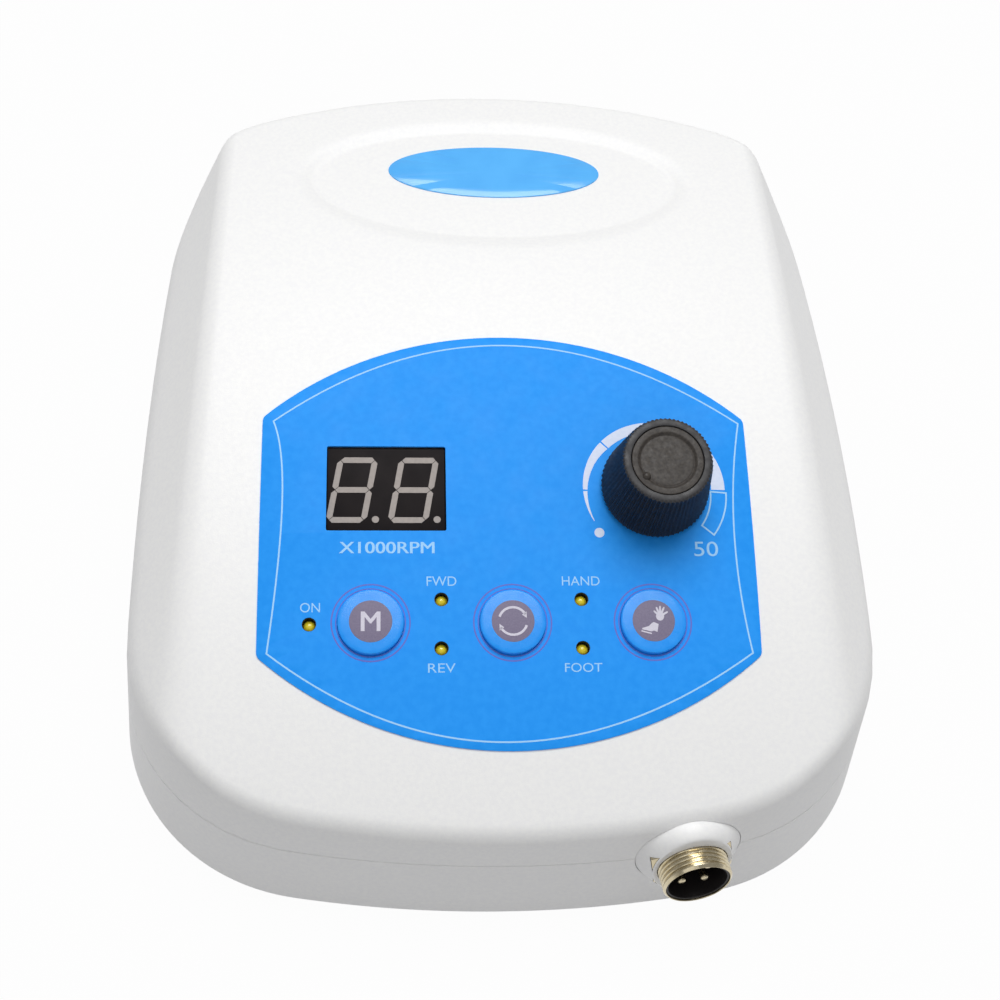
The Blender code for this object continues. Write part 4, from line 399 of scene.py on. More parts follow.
def makeLight():
    light = {"room": 0.35, "above": 11.2, "front": 0.9, "floorWhite": 0.97,
             "abovePlace": (0.04, 0.28, 1.25), "aboveSize": 0.9,
             "frontPlace": (-0.10, -1.0, 0.60), "frontSize": 0.7,
             "aim": (0, 0, 0.03), "floor": 6, "paper": "#C4C4C6"}
    scene = bpy.context.scene
    scene.view_settings.view_transform = "Standard"
    world = bpy.data.worlds.new("paleRoom")
    world.use_nodes = True
    scene.world = world
    tree = world.node_tree
    tree.nodes.clear()
    seen = anyRay(tree, "Is Camera Ray", "Is Transmission Ray")
    room = addNode(tree, "ShaderNodeBackground",
                   {"Color": linear("#FFFFFF"), "Strength": light["room"]})
    backdrop = addNode(tree, "ShaderNodeBackground", {"Color": linear("#FFFFFF"),
                                                      "Strength": 1.0})
    mix = addNode(tree, "ShaderNodeMixShader", {0: seen, 1: room.outputs[0],
                                                2: backdrop.outputs[0]})
    addNode(tree, "ShaderNodeOutputWorld", {"Surface": mix.outputs[0]})

    for name, key in (("overheadLamp", "above"), ("frontLamp", "front")):
        place = Vector(light[key + "Place"])
        bpy.ops.object.light_add(type="AREA", location=place)
        lamp = bpy.context.object
        lamp.name = name
        lamp.data.shape = "DISK"
        lamp.data.size = light[key + "Size"]
        lamp.data.energy = light[key]
        lamp.rotation_euler = (Vector(light["aim"]) - place).to_track_quat("-Z", "Y").to_euler()

    bpy.ops.mesh.primitive_plane_add(size=light["floor"], location=(0, 0, 0))
    floor = bpy.context.object
    floor.name = "studioFloor"
    look = bpy.data.materials.new("paleStudioPaper")
    look.use_nodes = True
    tree = look.node_tree
    tree.nodes.clear()
    seen = anyRay(tree, "Is Camera Ray", "Is Glossy Ray", "Is Transmission Ray")
    share = addNode(tree, "ShaderNodeMath", {0: seen, 1: light["floorWhite"]},
                    operation="MULTIPLY")
    paper = addNode(tree, "ShaderNodeBsdfDiffuse", {"Color": linear(light["paper"])})
    glow = addNode(tree, "ShaderNodeEmission", {"Color": linear("#FFFFFF"), "Strength": 1.0})
    mix = addNode(tree, "ShaderNodeMixShader", {0: share.outputs[0], 1: paper.outputs[0],
                                                2: glow.outputs[0]})
    addNode(tree, "ShaderNodeOutputMaterial", {"Surface": mix.outputs[0]})
    floor.data.materials.append(look)


makeCamera()
makeLight()
print("camera and light placed")


# The body's form, in its own frame: X from the middle, Y from the front, Z from the base

form = inMm({"length": 192.0, "halfWidth": 84.35, "widestY": 79.7, "sideRadius": 1260,
             "frontRadius": 271, "frontCorner": 46.4, "rearRadius": 152, "rearCorner": 40.6,
             "panelRadius": 380.3, "crestY": 168.3, "crestHeight": 68.5, "edge": 2.3,
             "innerEdge": 0.8, "base": 1.0, "creaseHalf": 69.4, "creaseStart": 15,
             "flankMiddle": 85, "flankTwist": 465, "wall": 2.5, "parting": 20,
             "partingGap": 0.12, "partingEdge": 0.22, "displayRow": 71.6, "boardV": -13,
             "socketX": 36.9, "socketHeight": 20.3, "socketHole": 11.3, "plateFace": 176.5},
            {"draft": math.radians(6.67), "creaseTaper": 0.0543, "creaseBend": 5.0,
             "flankAngle": math.radians(40.7), "raySteps": 24})
# The rear plate and the tray's foot say where this frame lies in the CAD model
shift = Vector((0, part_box("rear_plate")[1][1] - form["plateFace"],
                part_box("lower_housing")[0][2]))
toWorld = Matrix.Translation(shift)
panelCentreZ = form["crestHeight"] - form["panelRadius"]
frontCentre = Vector((0, form["frontRadius"]))
sideCentre = Vector((form["halfWidth"] - form["sideRadius"], form["widestY"]))
rearCentre = Vector((0, form["length"] - form["rearRadius"]))


# Centre of the corner that touches both the end's arc and the side's
def cornerCentre(endCentre, endRadius, cornerRadius):
    endReach = endRadius - cornerRadius
    sideReach = form["sideRadius"] - cornerRadius
    line = sideCentre - endCentre
    along = (endReach ** 2 - sideReach ** 2 + line.length_squared) / (2 * line.length)
    across = math.sqrt(max(endReach ** 2 - along ** 2, 0))
    unit = line.normalized()
    normal = Vector((-unit.y, unit.x)) * across
    middle = endCentre + unit * along
    return max(middle + normal, middle - normal, key=lambda place: place.x)


roundCorners = [(cornerCentre(endCentre, form[end + "Radius"], form[end + "Corner"]), endCentre,
                 form[end + "Corner"])
                for end, endCentre in (("front", frontCentre), ("rear", rearCentre))]


# Signed distance from the outline seen from above
def planGap(x, y):
    x = np.abs(x)
    gap = np.hypot(x, y - frontCentre.y) - form["frontRadius"]
    gap = np.maximum(gap, np.hypot(x - sideCentre.x, y - sideCentre.y) - form["sideRadius"])
    gap = np.maximum(gap, np.hypot(x, y - rearCentre.y) - form["rearRadius"])
    for centre, endCentre, radius in roundCorners:
        bounds = [math.atan2(centre.y - far.y, centre.x - far.x)
                  for far in (endCentre, sideCentre)]
        angle = np.arctan2(y - centre.y, x - centre.x)
        inside = (angle >= min(bounds)) & (angle <= max(bounds))
        gap = np.where(inside, np.hypot(x - centre.x, y - centre.y) - radius, gap)
    return gap


def panelHeight(y):
    return panelCentreZ + np.sqrt(np.maximum(form["panelRadius"] ** 2
                                             - (y - form["crestY"]) ** 2, 0))


# Signed distance from the body, shrunk by inset, its edges rounded
def formGap(x, y, z, inset, edge):
    wall = planGap(x, y) * math.cos(form["draft"]) + z * math.sin(form["draft"])
    panel = np.hypot(y - form["crestY"], z - panelCentreZ) - form["panelRadius"]
    back = y - form["creaseStart"]
    crease = form["creaseHalf"] - form["creaseTaper"] * back + back ** 2 / (2 * form["creaseBend"])
    angle = form["flankAngle"] - (y - form["flankMiddle"]) / form["flankTwist"]
    flank = (np.abs(x) - crease - (panelHeight(y) - z) * np.tan(angle)) * np.cos(angle)
    gaps = [wall + inset, panel + inset, flank + inset]
    past = np.sqrt(sum(np.maximum(gap + edge, 0) ** 2 for gap in gaps))
    return np.minimum(np.maximum.reduce(gaps), -edge) + past


# Where rays from a centre leave the form; turns has one value for each row of rises
def rayPoints(centre, turns, rises, inset, edge):
    turn = np.broadcast_to(turns[:, None], rises.shape)
    ways = (np.cos(turn) * np.cos(rises), np.sin(turn) * np.cos(rises), np.sin(rises))
    near, far = np.zeros(rises.shape), np.full(rises.shape, form["length"])
    for _ in range(form["raySteps"]):
        trial = (near + far) / 2
        spot = [middle + way * trial for middle, way in zip(centre, ways)]
        outside = formGap(*spot, inset, edge) > 0
        near, far = np.where(outside, near, trial), np.where(outside, trial, far)
    return np.stack([middle + way * near for middle, way in zip(centre, ways)], -1)


# Each row read again at count points, closer together where the form bends
def evenRings(rows, count, bendLength):
    result = []
    for row in rows:
        steps = np.diff(row, axis=0)
        lengths = np.maximum(np.linalg.norm(steps, axis=1), 1e-9)
        units = steps / lengths[:, None]
        turns = np.arccos(np.clip(np.sum(units[1:] * units[:-1], axis=1), -1, 1))
        weights = lengths.copy()
        weights[1:] += bendLength * turns
        along = np.concatenate([[0], np.cumsum(weights)])
        wanted = np.linspace(0, along[-1], count)
        result.append(np.stack([np.interp(wanted, along, row[:, axis])
                                for axis in range(3)], -1))
    return list(np.array(result).transpose(1, 0, 2))


# Places on the sloping panel: u across, v up the slope, h above it

def panelAngle(v):
    start = np.arcsin((form["crestY"] - form["displayRow"]) / form["panelRadius"])
    return start - v / form["panelRadius"]


# Body places of (u, v, h) points on the panel
def panelPoints(points):
    points = np.asarray(points, dtype=float)
    angle = panelAngle(points[..., 1])
    reach = form["panelRadius"] + points[..., 2]
    return np.stack([points[..., 0], form["crestY"] - reach * np.sin(angle),
                     panelCentreZ + reach * np.cos(angle)], -1)


# Lays a piece drawn flat as (u, v, h) on the panel
def bendToPanel(piece):
    setPoints(piece, panelPoints(getPoints(piece)) + np.array(shift))


# A frame on the panel, square to the board behind it
def spotFrame(u, v):
    turn = Matrix.Rotation(panelAngle(form["boardV"]), 4, "X")
    return Matrix.Translation(Vector(panelPoints([u, v, 0])) + shift) @ turn


def panelV(y):
    return form["panelRadius"] * (panelAngle(0)
                                  - math.asin((form["crestY"] - y) / form["panelRadius"]))


dish = inMm({"halfWidth": 47.35, "halfLength": 21.65, "edge": 4.4, "depth": 1.0,
             "rearMargin": 17})
dishV = panelV(form["length"] - dish["rearMargin"]) - dish["halfLength"]
socketFrameRadius = form["frontRadius"] - form["socketHeight"] * math.tan(form["draft"])
socketYaw = math.asin(form["socketX"] / socketFrameRadius)
socketPlace = Vector((form["socketX"],
                      form["frontRadius"] - socketFrameRadius * math.cos(socketYaw),
                      form["socketHeight"]))
socketFrame = (Matrix.Translation(socketPlace + shift)
               @ Matrix.Rotation(socketYaw, 4, "Z")
               @ Matrix.Rotation(math.pi / 2 - form["draft"], 4, "X"))
panelSpots = inMm({"display": (-25.6, 0.0), "knob": (31.2, 0.4), "mode": (-28.75, -29.05),
                   "direction": (0.3, -29.05), "hand_foot": (29.35, -29.05)})
lampSpots = inMm({"on": (-41.25, -29.4), "forward": (-14.29, -24.2), "reverse": (-14.35, -34.4),
                  "hand": (14.65, -24.2), "foot": (14.65, -34.4)})
keyNames = ("mode", "direction", "hand_foot")


# Rods through the panel at the keys, lamps and knob; each hole is (radius, sides)
def panelHoles(keys, lamps, shaft, low, high, frameOf):
    holes = [(panelSpots[name], keys) for name in keyNames]
    holes += [(spot, lamps) for spot in lampSpots.values()] + [(panelSpots["knob"], shaft)]
    return [rod("hole", radius, low, high, frameOf(*spot), sides)
            for spot, (radius, sides) in holes]


# Rises of a quarter turn, the same for each of the rays round a centre
def quarterTurn(rays, samples):
    return np.broadcast_to(np.linspace(0, math.pi / 2, samples), (rays, samples))


# Upper housing: one skin from the parting line over the panel into the dish

def makeUpperHousing():
    size = inMm({"bend": 45, "innerBend": 20, "trimInset": 1.0, "rearLow": 21.5,
                 "rearHigh": 58.5, "rearHalf": 50.5, "pocketHalf": 48, "pocketLow": 24,
                 "pocketHigh": 56, "ledge": 173.7, "ledgeDepth": 5, "ledgeWidth": 4.5,
                 "over": 4, "holeLow": -8, "socketLow": -9, "window": (13.1, 10.1), "key": 7.3,
                 "lamp": 1.6, "shaft": 4.6},
                {"sectors": 320, "rings": 40, "innerRings": 12, "samples": 900,
                 "innerSamples": 500, "dishFloor": (0.97, 0.75, 0.5, 0.25, 0), "trimRays": 160,
                 "trimSamples": 400, "trimRings": 16})
    sectors, over = size["sectors"], size["over"]

    def oval(shrink, height, part=1):
        reach = part * (np.array((dish["halfWidth"], dish["halfLength"])) - shrink)
        return panelPoints(atHeight(circle(sectors, 0.5) * reach + (0, dishV), height))

    rim = oval(0, 0)
    start = form["parting"] + form["partingGap"] / 2
    centre = (0, float(panelPoints([0, dishV, 0])[1]), start)
    across = np.hypot(rim[:, 0], rim[:, 1] - centre[1])
    turns = np.arctan2(rim[:, 1] - centre[1], rim[:, 0])
    ends = np.arctan2(rim[:, 2] - start, across)
    outer = rayPoints(centre, turns, ends[:, None] * np.linspace(0, 1, size["samples"]) ** 2, 0,
                      form["edge"])
    outer[:, -1] = rim
    outer = evenRings(outer, size["rings"], size["bend"])
    level = np.zeros((sectors, 1))
    seam = rayPoints(centre, turns, level, form["partingEdge"], 0)[:, 0]
    raised = (0, centre[1], start + form["partingEdge"])
    outer[0] = rayPoints(raised, turns, level, 0, 0)[:, 0]
    inner = rayPoints(centre, turns, quarterTurn(sectors, size["innerSamples"]), form["wall"],
                      form["innerEdge"])
    inner = evenRings(inner, size["innerRings"], size["innerBend"])[::-1]
    hollow = [oval(dish["edge"] * along, -dish["depth"] * (1 - math.cos(math.pi / 2 * along)))
              for along in np.arange(1, 9) / 8]
    floor = [oval(dish["edge"], -dish["depth"], part) for part in size["dishFloor"]]
    housing = wrapGrid("upperHousing", inner + [seam] + outer + hollow + floor)

    # A frame inside the rear wall carries the rear plate
    carrier = block("carrier", (-size["rearHalf"], size["ledge"] - size["ledgeDepth"],
                                size["rearLow"]),
                    (size["rearHalf"], form["length"], size["rearHigh"]))
    rays = size["trimRays"]
    middle = (0, form["length"] / 2, form["parting"])
    trim = rayPoints(middle, (np.arange(rays) + 0.5) * 2 * math.pi / rays,
                     quarterTurn(rays, size["trimSamples"]), size["trimInset"], form["innerEdge"])
    trim = evenRings(trim, size["trimRings"], size["innerBend"])
    trim.insert(0, np.broadcast_to(np.array(middle), (rays, 3)))
    cut(carrier, wrapGrid("trim", trim), "INTERSECT")
    cut(housing, carrier, "UNION")

    housing.data.transform(toWorld)
    tools = [block("pocket", (-size["pocketHalf"], size["ledge"], size["pocketLow"]),
                   (size["pocketHalf"], form["length"] + over, size["pocketHigh"]), toWorld)]
    wide, tall = size["window"]
    tools.append(block("window", (-wide, -tall, size["holeLow"]), (wide, tall, over),
                       spotFrame(*panelSpots["display"])))
    tools += panelHoles((size["key"], 64), (size["lamp"], 32), (size["shaft"], 64),
                        size["holeLow"], over, spotFrame)
    tools.append(rod("socketHole", form["socketHole"], size["socketLow"], over, socketFrame, 96))
    cut(housing, join("openings", tools))
    inset = size["ledgeWidth"]
    passage = block("passage", (-size["pocketHalf"] + inset,
                                size["ledge"] - size["ledgeDepth"] - over,
                                size["pocketLow"] + inset),
                    (size["pocketHalf"] - inset, size["ledge"] + over,
                     size["pocketHigh"] - inset), toWorld)
    cut(housing, passage)
    finish(housing, whiteLook, nodes=["upper_housing"], slot="white_abs", angle=32)


# Lower housing: a tray with a rounded base edge

def makeLowerHousing():
    size = inMm({"floor": 2.5, "bossX": (62, 64), "bossY": (36, 150), "bossRadius": 4.5,
                 "bossTop": 19.8, "bossBore": 1.9, "bossSink": 0.2, "footX": (50, 52),
                 "footY": (20, 170), "footHole": 7.3, "footDepth": 0.8, "headHole": 3.5,
                 "headDepth": 8, "ventX": 30, "ventY": 58, "ventPitch": 6, "ventWidth": 2.4,
                 "ventLength": 26, "over": 4, "socketLow": -9},
                {"sectors": 288})
    turns = (np.arange(size["sectors"]) + 0.5) * 2 * math.pi / size["sectors"]
    flat = np.zeros((size["sectors"], 1))
    middle, over, floor = form["length"] / 2, size["over"], size["floor"]

    def ring(height, inset):
        return rayPoints((0, middle, height), turns, flat, inset, 0)[:, 0]

    def point(height):
        return np.broadcast_to(np.array((0, middle, height)), (size["sectors"], 3))

    top = form["parting"] - form["partingGap"] / 2
    base = form["base"]
    rings = [point(0)]
    for part in (0.5, 1.0):
        rings.append(point(0) + (ring(0, base) - point(0)) * part)
    for step in range(1, 6):
        angle = math.pi / 2 * step / 5
        rings.append(ring(base * (1 - math.cos(angle)), base * (1 - math.sin(angle))))
    for part in (0.2, 0.4, 0.6, 0.8, 1.0):
        rings.append(ring(base + (top - form["partingEdge"] - base) * part, 0))
    rings += [ring(top, form["partingEdge"]), ring(top, form["wall"]),
              ring(floor, form["wall"]), point(floor)]
    housing = wrapGrid("lowerHousing", rings)
    tools = []
    for side in (-1, 1):
        for xs, ys, radius, high, sides in (
                (size["footX"], size["footY"], size["footHole"], size["footDepth"], 64),
                (size["bossX"], size["bossY"], size["headHole"], floor + over, 32)):
            tools += [rod("hole", radius, -over, high, Matrix.Translation((side * x, y, 0)), sides)
                      for x, y in zip(xs, ys)]
        for step in (-2, -1, 0, 1, 2):
            x, y = side * size["ventX"] + step * size["ventPitch"], size["ventY"]
            wide, long = size["ventWidth"] / 2, size["ventLength"] / 2
            tools.append(block("vent", (x - wide, y - long, -over),
                               (x + wide, y + long, floor + over)))
    cut(housing, join("openings", tools))
    housing.data.transform(toWorld)
    cut(housing, rod("socketHole", form["socketHole"], size["socketLow"], over, socketFrame, 96))
    low, outer, bore = floor - size["bossSink"], size["bossRadius"], size["bossBore"]
    profile = [(size["headHole"], low), (size["headHole"], size["headDepth"]),
               (bore, size["headDepth"]), (bore, size["bossTop"]), (outer, size["bossTop"]),
               (outer, low), (size["headHole"], low)]
    sleeves = [lathe("boss", profile, 48, toWorld @ Matrix.Translation((side * x, y, 0)))
               for side in (-1, 1) for x, y in zip(size["bossX"], size["bossY"])]
    join("lowerHousing", [housing] + sleeves)
    finish(housing, whiteLook, nodes=["lower_housing"], slot="white_abs", angle=32)


makeUpperHousing()
print("upper housing made")
makeLowerHousing()
print("lower housing made")


# Printed overlay and what is printed on it

overlay = inMm({"halfWidth": 51.8, "topCorner": 16.3, "bottomCorner": 36.0, "top": 36.7,
                "bottom": 55.3, "corner": 0.9, "low": -0.2, "high": 0.3, "ink": 0.03,
                "inkSink": 0.01, "layer": 0.006, "divide": 3})


# An arc from right to left that rises from end to apex
def arc(halfWidth, end, apex, steps=40):
    rise = apex - end
    radius = (halfWidth ** 2 + rise ** 2) / (2 * rise)
    spread = math.asin(halfWidth / radius)
    turns = [spread * (1 - 2 * step / steps) for step in range(steps + 1)]
    return [(radius * math.sin(turn), apex - radius * (1 - math.cos(turn))) for turn in turns]


# A shallow arc through three points, without its last one
def bow(start, middle, end, steps):
    start, middle, end = (Vector(place) for place in (start, middle, end))
    return curve(start, 2 * middle - (start + end) / 2, end, steps)[:-1]


# Rounds the sharp corners of a closed outline
def roundOutline(points, reach):
    marked = []
    for index, here in enumerate(points):
        before, after = Vector(points[index - 1]), Vector(points[(index + 1) % len(points)])
        here = Vector(here)
        turn = (here - before).angle(after - here, 0)
        marked.append((*here, reach) if turn > math.radians(20) else tuple(here))
    return softened(marked, 5)


# A flat piece with an outline that its middle sees whole
def slab(name, outline, low, high, round_=0.0):
    outline = np.array(outline)
    middle = outline.mean(axis=0)

    def ring(inset, height):
        away = outline - middle
        length = np.linalg.norm(away, axis=1)[:, None]
        return atHeight(middle + away * (1 - inset / length), height)

    def point(height):
        return atHeight(np.broadcast_to(middle, outline.shape), height)

    rings = [point(low), ring(0, low), ring(0, high - round_)]
    if round_:
        rings += [ring(round_ * 0.3, high - round_ * 0.3), ring(round_, high)]
    rings.append(point(high))
    return wrapGrid(name, rings)


# A closed strip between two outlines with the same number of points
def band(name, outer, inner, low, high):
    return wrapGrid(name, [atHeight(outer, low), atHeight(outer, high), atHeight(inner, high),
                           atHeight(inner, low), atHeight(outer, low)])


# An open strip along a path, as wide as widths says at each point
def stroke(name, path, widths, low, high):
    path = np.array(path, dtype=float)
    widths = np.broadcast_to(np.asarray(widths, dtype=float), (len(path),))
    along = np.gradient(path, axis=0)
    along /= np.linalg.norm(along, axis=1)[:, None]
    side = np.column_stack([-along[:, 1], along[:, 0]]) * widths[:, None] / 2
    left, right = path + side, path - side
    rings = [np.stack([np.append(a, low), np.append(a, high), np.append(b, high),
                       np.append(b, low)]) for a, b in zip(left, right)]
    first = np.broadcast_to(rings[0].mean(axis=0), (4, 3))
    last = np.broadcast_to(rings[-1].mean(axis=0), (4, 3))
    return wrapGrid(name, [first] + rings + [last])


# The outline moved inward by inset
def offsetOutline(points, inset):
    points = np.array(points)
    before, after = np.roll(points, 1, axis=0), np.roll(points, -1, axis=0)
    first = (points - before) / np.linalg.norm(points - before, axis=1)[:, None]
    second = (after - points) / np.linalg.norm(after - points, axis=1)[:, None]
    normal = np.column_stack([-(first[:, 1] + second[:, 1]), first[:, 0] + second[:, 0]])
    normal /= np.linalg.norm(normal, axis=1)[:, None]
    cosine = np.sum(normal * np.column_stack([-first[:, 1], first[:, 0]]), axis=1)
    return points + normal * (inset / np.maximum(cosine, 0.4))[:, None]


# Crosses a flat piece with even lines so that it can follow the panel's curve
def divide(piece, step=overlay["divide"]):
    points = getPoints(piece)
    low, high = points[:, 1].min(), points[:, 1].max()
    makeActive(piece)
    bpy.ops.object.mode_set(mode="EDIT")
    for index in range(1, math.ceil((high - low) / step)):
        bpy.ops.mesh.select_all(action="SELECT")
        bpy.ops.mesh.bisect(plane_co=(0, low + step * index, 0), plane_no=(0, 1, 0))
    bpy.ops.object.mode_set(mode="OBJECT")


# Lettering as a thin flat mesh about a place; bold lays copies side by side
def words(name, text, place, width, height, bold=0.0):
    if bold:
        copies = [words(name, text, (place[0] + step * bold, place[1]), width - 2 * bold,
                        height) for step in (-1, 0, 1)]
        for index, copy in enumerate(copies):
            copy.data.transform(Matrix.Translation((0, 0, index * overlay["layer"])))
        return join(name, copies)
    deselect()
    bpy.ops.object.text_add()
    piece = bpy.context.object
    piece.data.body = text
    piece.data.extrude = 0.01
    piece.data.resolution_u = 6
    bpy.ops.object.convert(target="MESH")
    piece = bpy.context.object
    piece.name = name
    piece.data.name = name
    points = getPoints(piece)
    low, high = points.min(axis=0), points.max(axis=0)
    scale = np.array([width, height, overlay["ink"]]) / (high - low)
    points = (points - (low + high) / 2) * scale
    points += np.array([place[0], place[1], overlay["high"] + overlay["ink"] / 2])
    setPoints(piece, points)
    cleanUp(piece)
    return piece


def layOnPanel(piece, look, **rest):
    bendToPanel(piece)
    finish(piece, look, **rest)


def makeOverlay():
    size = inMm({"window": (-38.1, -13.05, -9.4, 9.65), "round": 0.5, "key": 6.87, "lamp": 1.47,
                 "shaft": 4.4, "over": 2, "edge": 0.08})
    top = arc(overlay["halfWidth"], overlay["topCorner"], overlay["top"])
    low = arc(overlay["halfWidth"], overlay["bottomCorner"], overlay["bottom"])
    outline = roundOutline(top + [(-u, -v) for u, v in low], overlay["corner"])
    film = slab("controlOverlay", outline, overlay["low"], overlay["high"], size["edge"])
    left, right, bottom, rim = size["window"]
    window = roundOutline([(left, rim), (left, bottom), (right, bottom), (right, rim)],
                          size["round"])
    tools = [slab("window", window, -size["over"], size["over"])]
    tools += panelHoles((size["key"], 96), (size["lamp"], 48), (size["shaft"], 64),
                        -size["over"], size["over"], lambda u, v: Matrix.Translation((u, v, 0)))
    cut(film, join("holes", tools))
    divide(film)
    layOnPanel(film, blueLook, nodes=["control_overlay"], slot="blue_print")


def makePrints():
    base, face = overlay["high"] - overlay["inkSink"], overlay["high"] + overlay["ink"]
    # Corners and middles of the border line's four sides, and the scale's radii by angle
    marks = inMm({"line": 0.34, "dot": 1.05, "keyRings": ((8.15, 7.85), (7.2, 7.0))},
                 {"corners": ((50.6, 15.5), (-49.5, 15.4), (-49.7, -35.4), (49.9, -35.6)),
                  "middles": ((0, 34.6), (-47.2, -3.1), (-1.1, -53.5), (47.7, -10)),
                  "steps": (40, 24, 40, 24),
                  "wedges": ((-2, 135.3), (136.7, 181.9), (183.3, 210)), "wedgeOuter": 15.2,
                  "wedgeAngles": (-2, 136, 182, 210), "wedgeInner": (12.3, 13.02, 14.28, 15.05),
                  "boxAngles": (-40.5, -5), "boxOuter": (16.0, 15.3), "boxInner": (13.1, 12.3),
                  "dotRadius": 15.86, "dotAngle": 219.9})
    outline = []
    for index, steps in enumerate(marks["steps"]):
        places = (marks["corners"][index], marks["middles"][index],
                  marks["corners"][(index + 1) % 4])
        outline += bow(*[(u * mm, v * mm) for u, v in places], steps)
    half = marks["line"] / 2
    lines = [band("borderLine", offsetOutline(outline, -half), offsetOutline(outline, half),
                  base, face)]

    # Speed scale: a wedge that grows clockwise in three parts, then an open box
    knobU, knobV = panelSpots["knob"]
    pieces = []

    def polar(radius, angle):
        return (knobU + radius * mm * math.cos(math.radians(angle)),
                knobV + radius * mm * math.sin(math.radians(angle)))

    for low, high in marks["wedges"]:
        angles = np.linspace(low, high, max(6, int((high - low) / 3)))
        inner = np.interp(angles, marks["wedgeAngles"], marks["wedgeInner"])
        path = [polar((marks["wedgeOuter"] + r) / 2, a) for r, a in zip(inner, angles)]
        pieces.append(stroke("scaleWedge", path, (marks["wedgeOuter"] - inner) * mm, base, face))
    first, last = marks["boxAngles"]
    angles = np.linspace(last, first, 14)
    box = [polar(np.interp(a, marks["boxAngles"], marks["boxOuter"]), a) for a in angles]
    box += [polar(np.interp(a, marks["boxAngles"], marks["boxInner"]), a)
            for a in angles[::-1]]
    lines.append(band("scaleBox", offsetOutline(box, marks["line"]), box, base, face))
    pieces.append(rod("scaleDot", marks["dot"], base, face,
                      Matrix.Translation((*polar(marks["dotRadius"], marks["dotAngle"]), 0)), 48))
    layOnPanel(join("palePrints", pieces), inkLook)
    layOnPanel(join("linePrints", lines), lineLook)

    # Each word with its middle, width, height and thickening
    labels = [("ON", (-41.08, -25.90), 4.05, 1.99, 0), ("FWD", (-14.23, -20.33), 6.16, 2.01, 0),
              ("REV", (-14.33, -38.45), 5.60, 1.86, 0), ("HAND", (14.66, -20.29), 7.89, 1.95, 0),
              ("FOOT", (14.64, -38.47), 7.69, 1.85, 0),
              ("X1000RPM", (-25.45, -13.11), 19.75, 2.52, 0.07),
              ("50", (41.44, -13.33), 5.11, 3.24, 0)]
    pieces = [words("words", text, (u * mm, v * mm), width * mm, height * mm, bold * mm)
              for text, (u, v), width, height, bold in labels]
    layOnPanel(join("functionWords", pieces), wordLook)

    unit = circle(120)
    pieces = [band("keyRing", panelSpots[name] + unit * outer, panelSpots[name] + unit * inner,
                   base, face) for name in keyNames for outer, inner in marks["keyRings"]]
    layOnPanel(join("keyRings", pieces), mauveLook)


def makeBadge():
    size = inMm({"halfWidth": 25.05, "halfLength": 8.4, "offset": 3.6, "low": -1.05,
                 "high": -0.72, "edge": 0.2})
    outline = (circle(144) * (size["halfWidth"], size["halfLength"])
               + (0, dishV + size["offset"]))
    plate = slab("badgePlate", outline, size["low"], size["high"], size["edge"])
    divide(plate)
    layOnPanel(plate, badgeLook, nodes=["badge_plate"], slot="blue_print")


makeOverlay()
makePrints()
makeBadge()
print("overlay and badge made")


# Display: smoked window with two slanted digits

def makeDisplay():
    size = inMm({"width": 25, "height": 19, "top": -0.7, "low": -9.5, "edge": 0.25,
                 "pitch": 12.9, "digitHeight": 14.6, "digitWidth": 8.5, "segment": 1.25,
                 "shift": -0.7, "gap": 0.09, "point": 0.75, "pointOffset": 6.2, "sink": 0.05,
                 "proud": 0.04},
                {"slant": math.tan(math.radians(10))})
    place = spotFrame(*panelSpots["display"])
    wide, tall, slant = size["width"] / 2, size["height"] / 2, size["slant"]
    window = block("displayWindow", (-wide, -tall, size["low"]), (wide, tall, size["top"]), place)
    bevel(window, size["edge"])
    finish(window, windowLook, nodes=["display_module"], slot="display_black")

    half, rise = size["segment"] / 2, size["digitHeight"] / 2
    low, high = size["top"] - size["sink"], size["top"] + size["proud"]
    across, along = size["digitWidth"] - size["segment"], rise - half
    pieces = []

    def bar(middle, length, upright, digit):
        tip = length / 2 - size["gap"]
        outline = [(tip, 0), (tip - half, half), (-tip + half, half), (-tip, 0),
                   (-tip + half, -half), (tip - half, -half)]
        if upright:
            outline = [(-y, x) for x, y in outline]
        outline = [(x + middle[0], y + middle[1]) for x, y in outline]
        pieces.append(slab("segment", [(x + slant * y + digit, y) for x, y in outline],
                           low, high))

    for side in (-1, 1):
        digit = side * size["pitch"] / 2 + size["shift"]
        for y in (-along, 0, along):
            bar((0, y), across, False, digit)
        for x in (-across / 2, across / 2):
            for y in (-along / 2, along / 2):
                bar((x, y), along, True, digit)
        spot = Matrix.Translation((digit + size["pointOffset"] - slant * rise,
                                   -rise + size["point"], 0))
        pieces.append(rod("point", size["point"], low, high, spot, 32))
    digits = join("displaySegments", pieces)
    digits.data.transform(place)
    finish(digits, segmentLook)


# Push keys: a clear domed cap over a grey disc with its icon

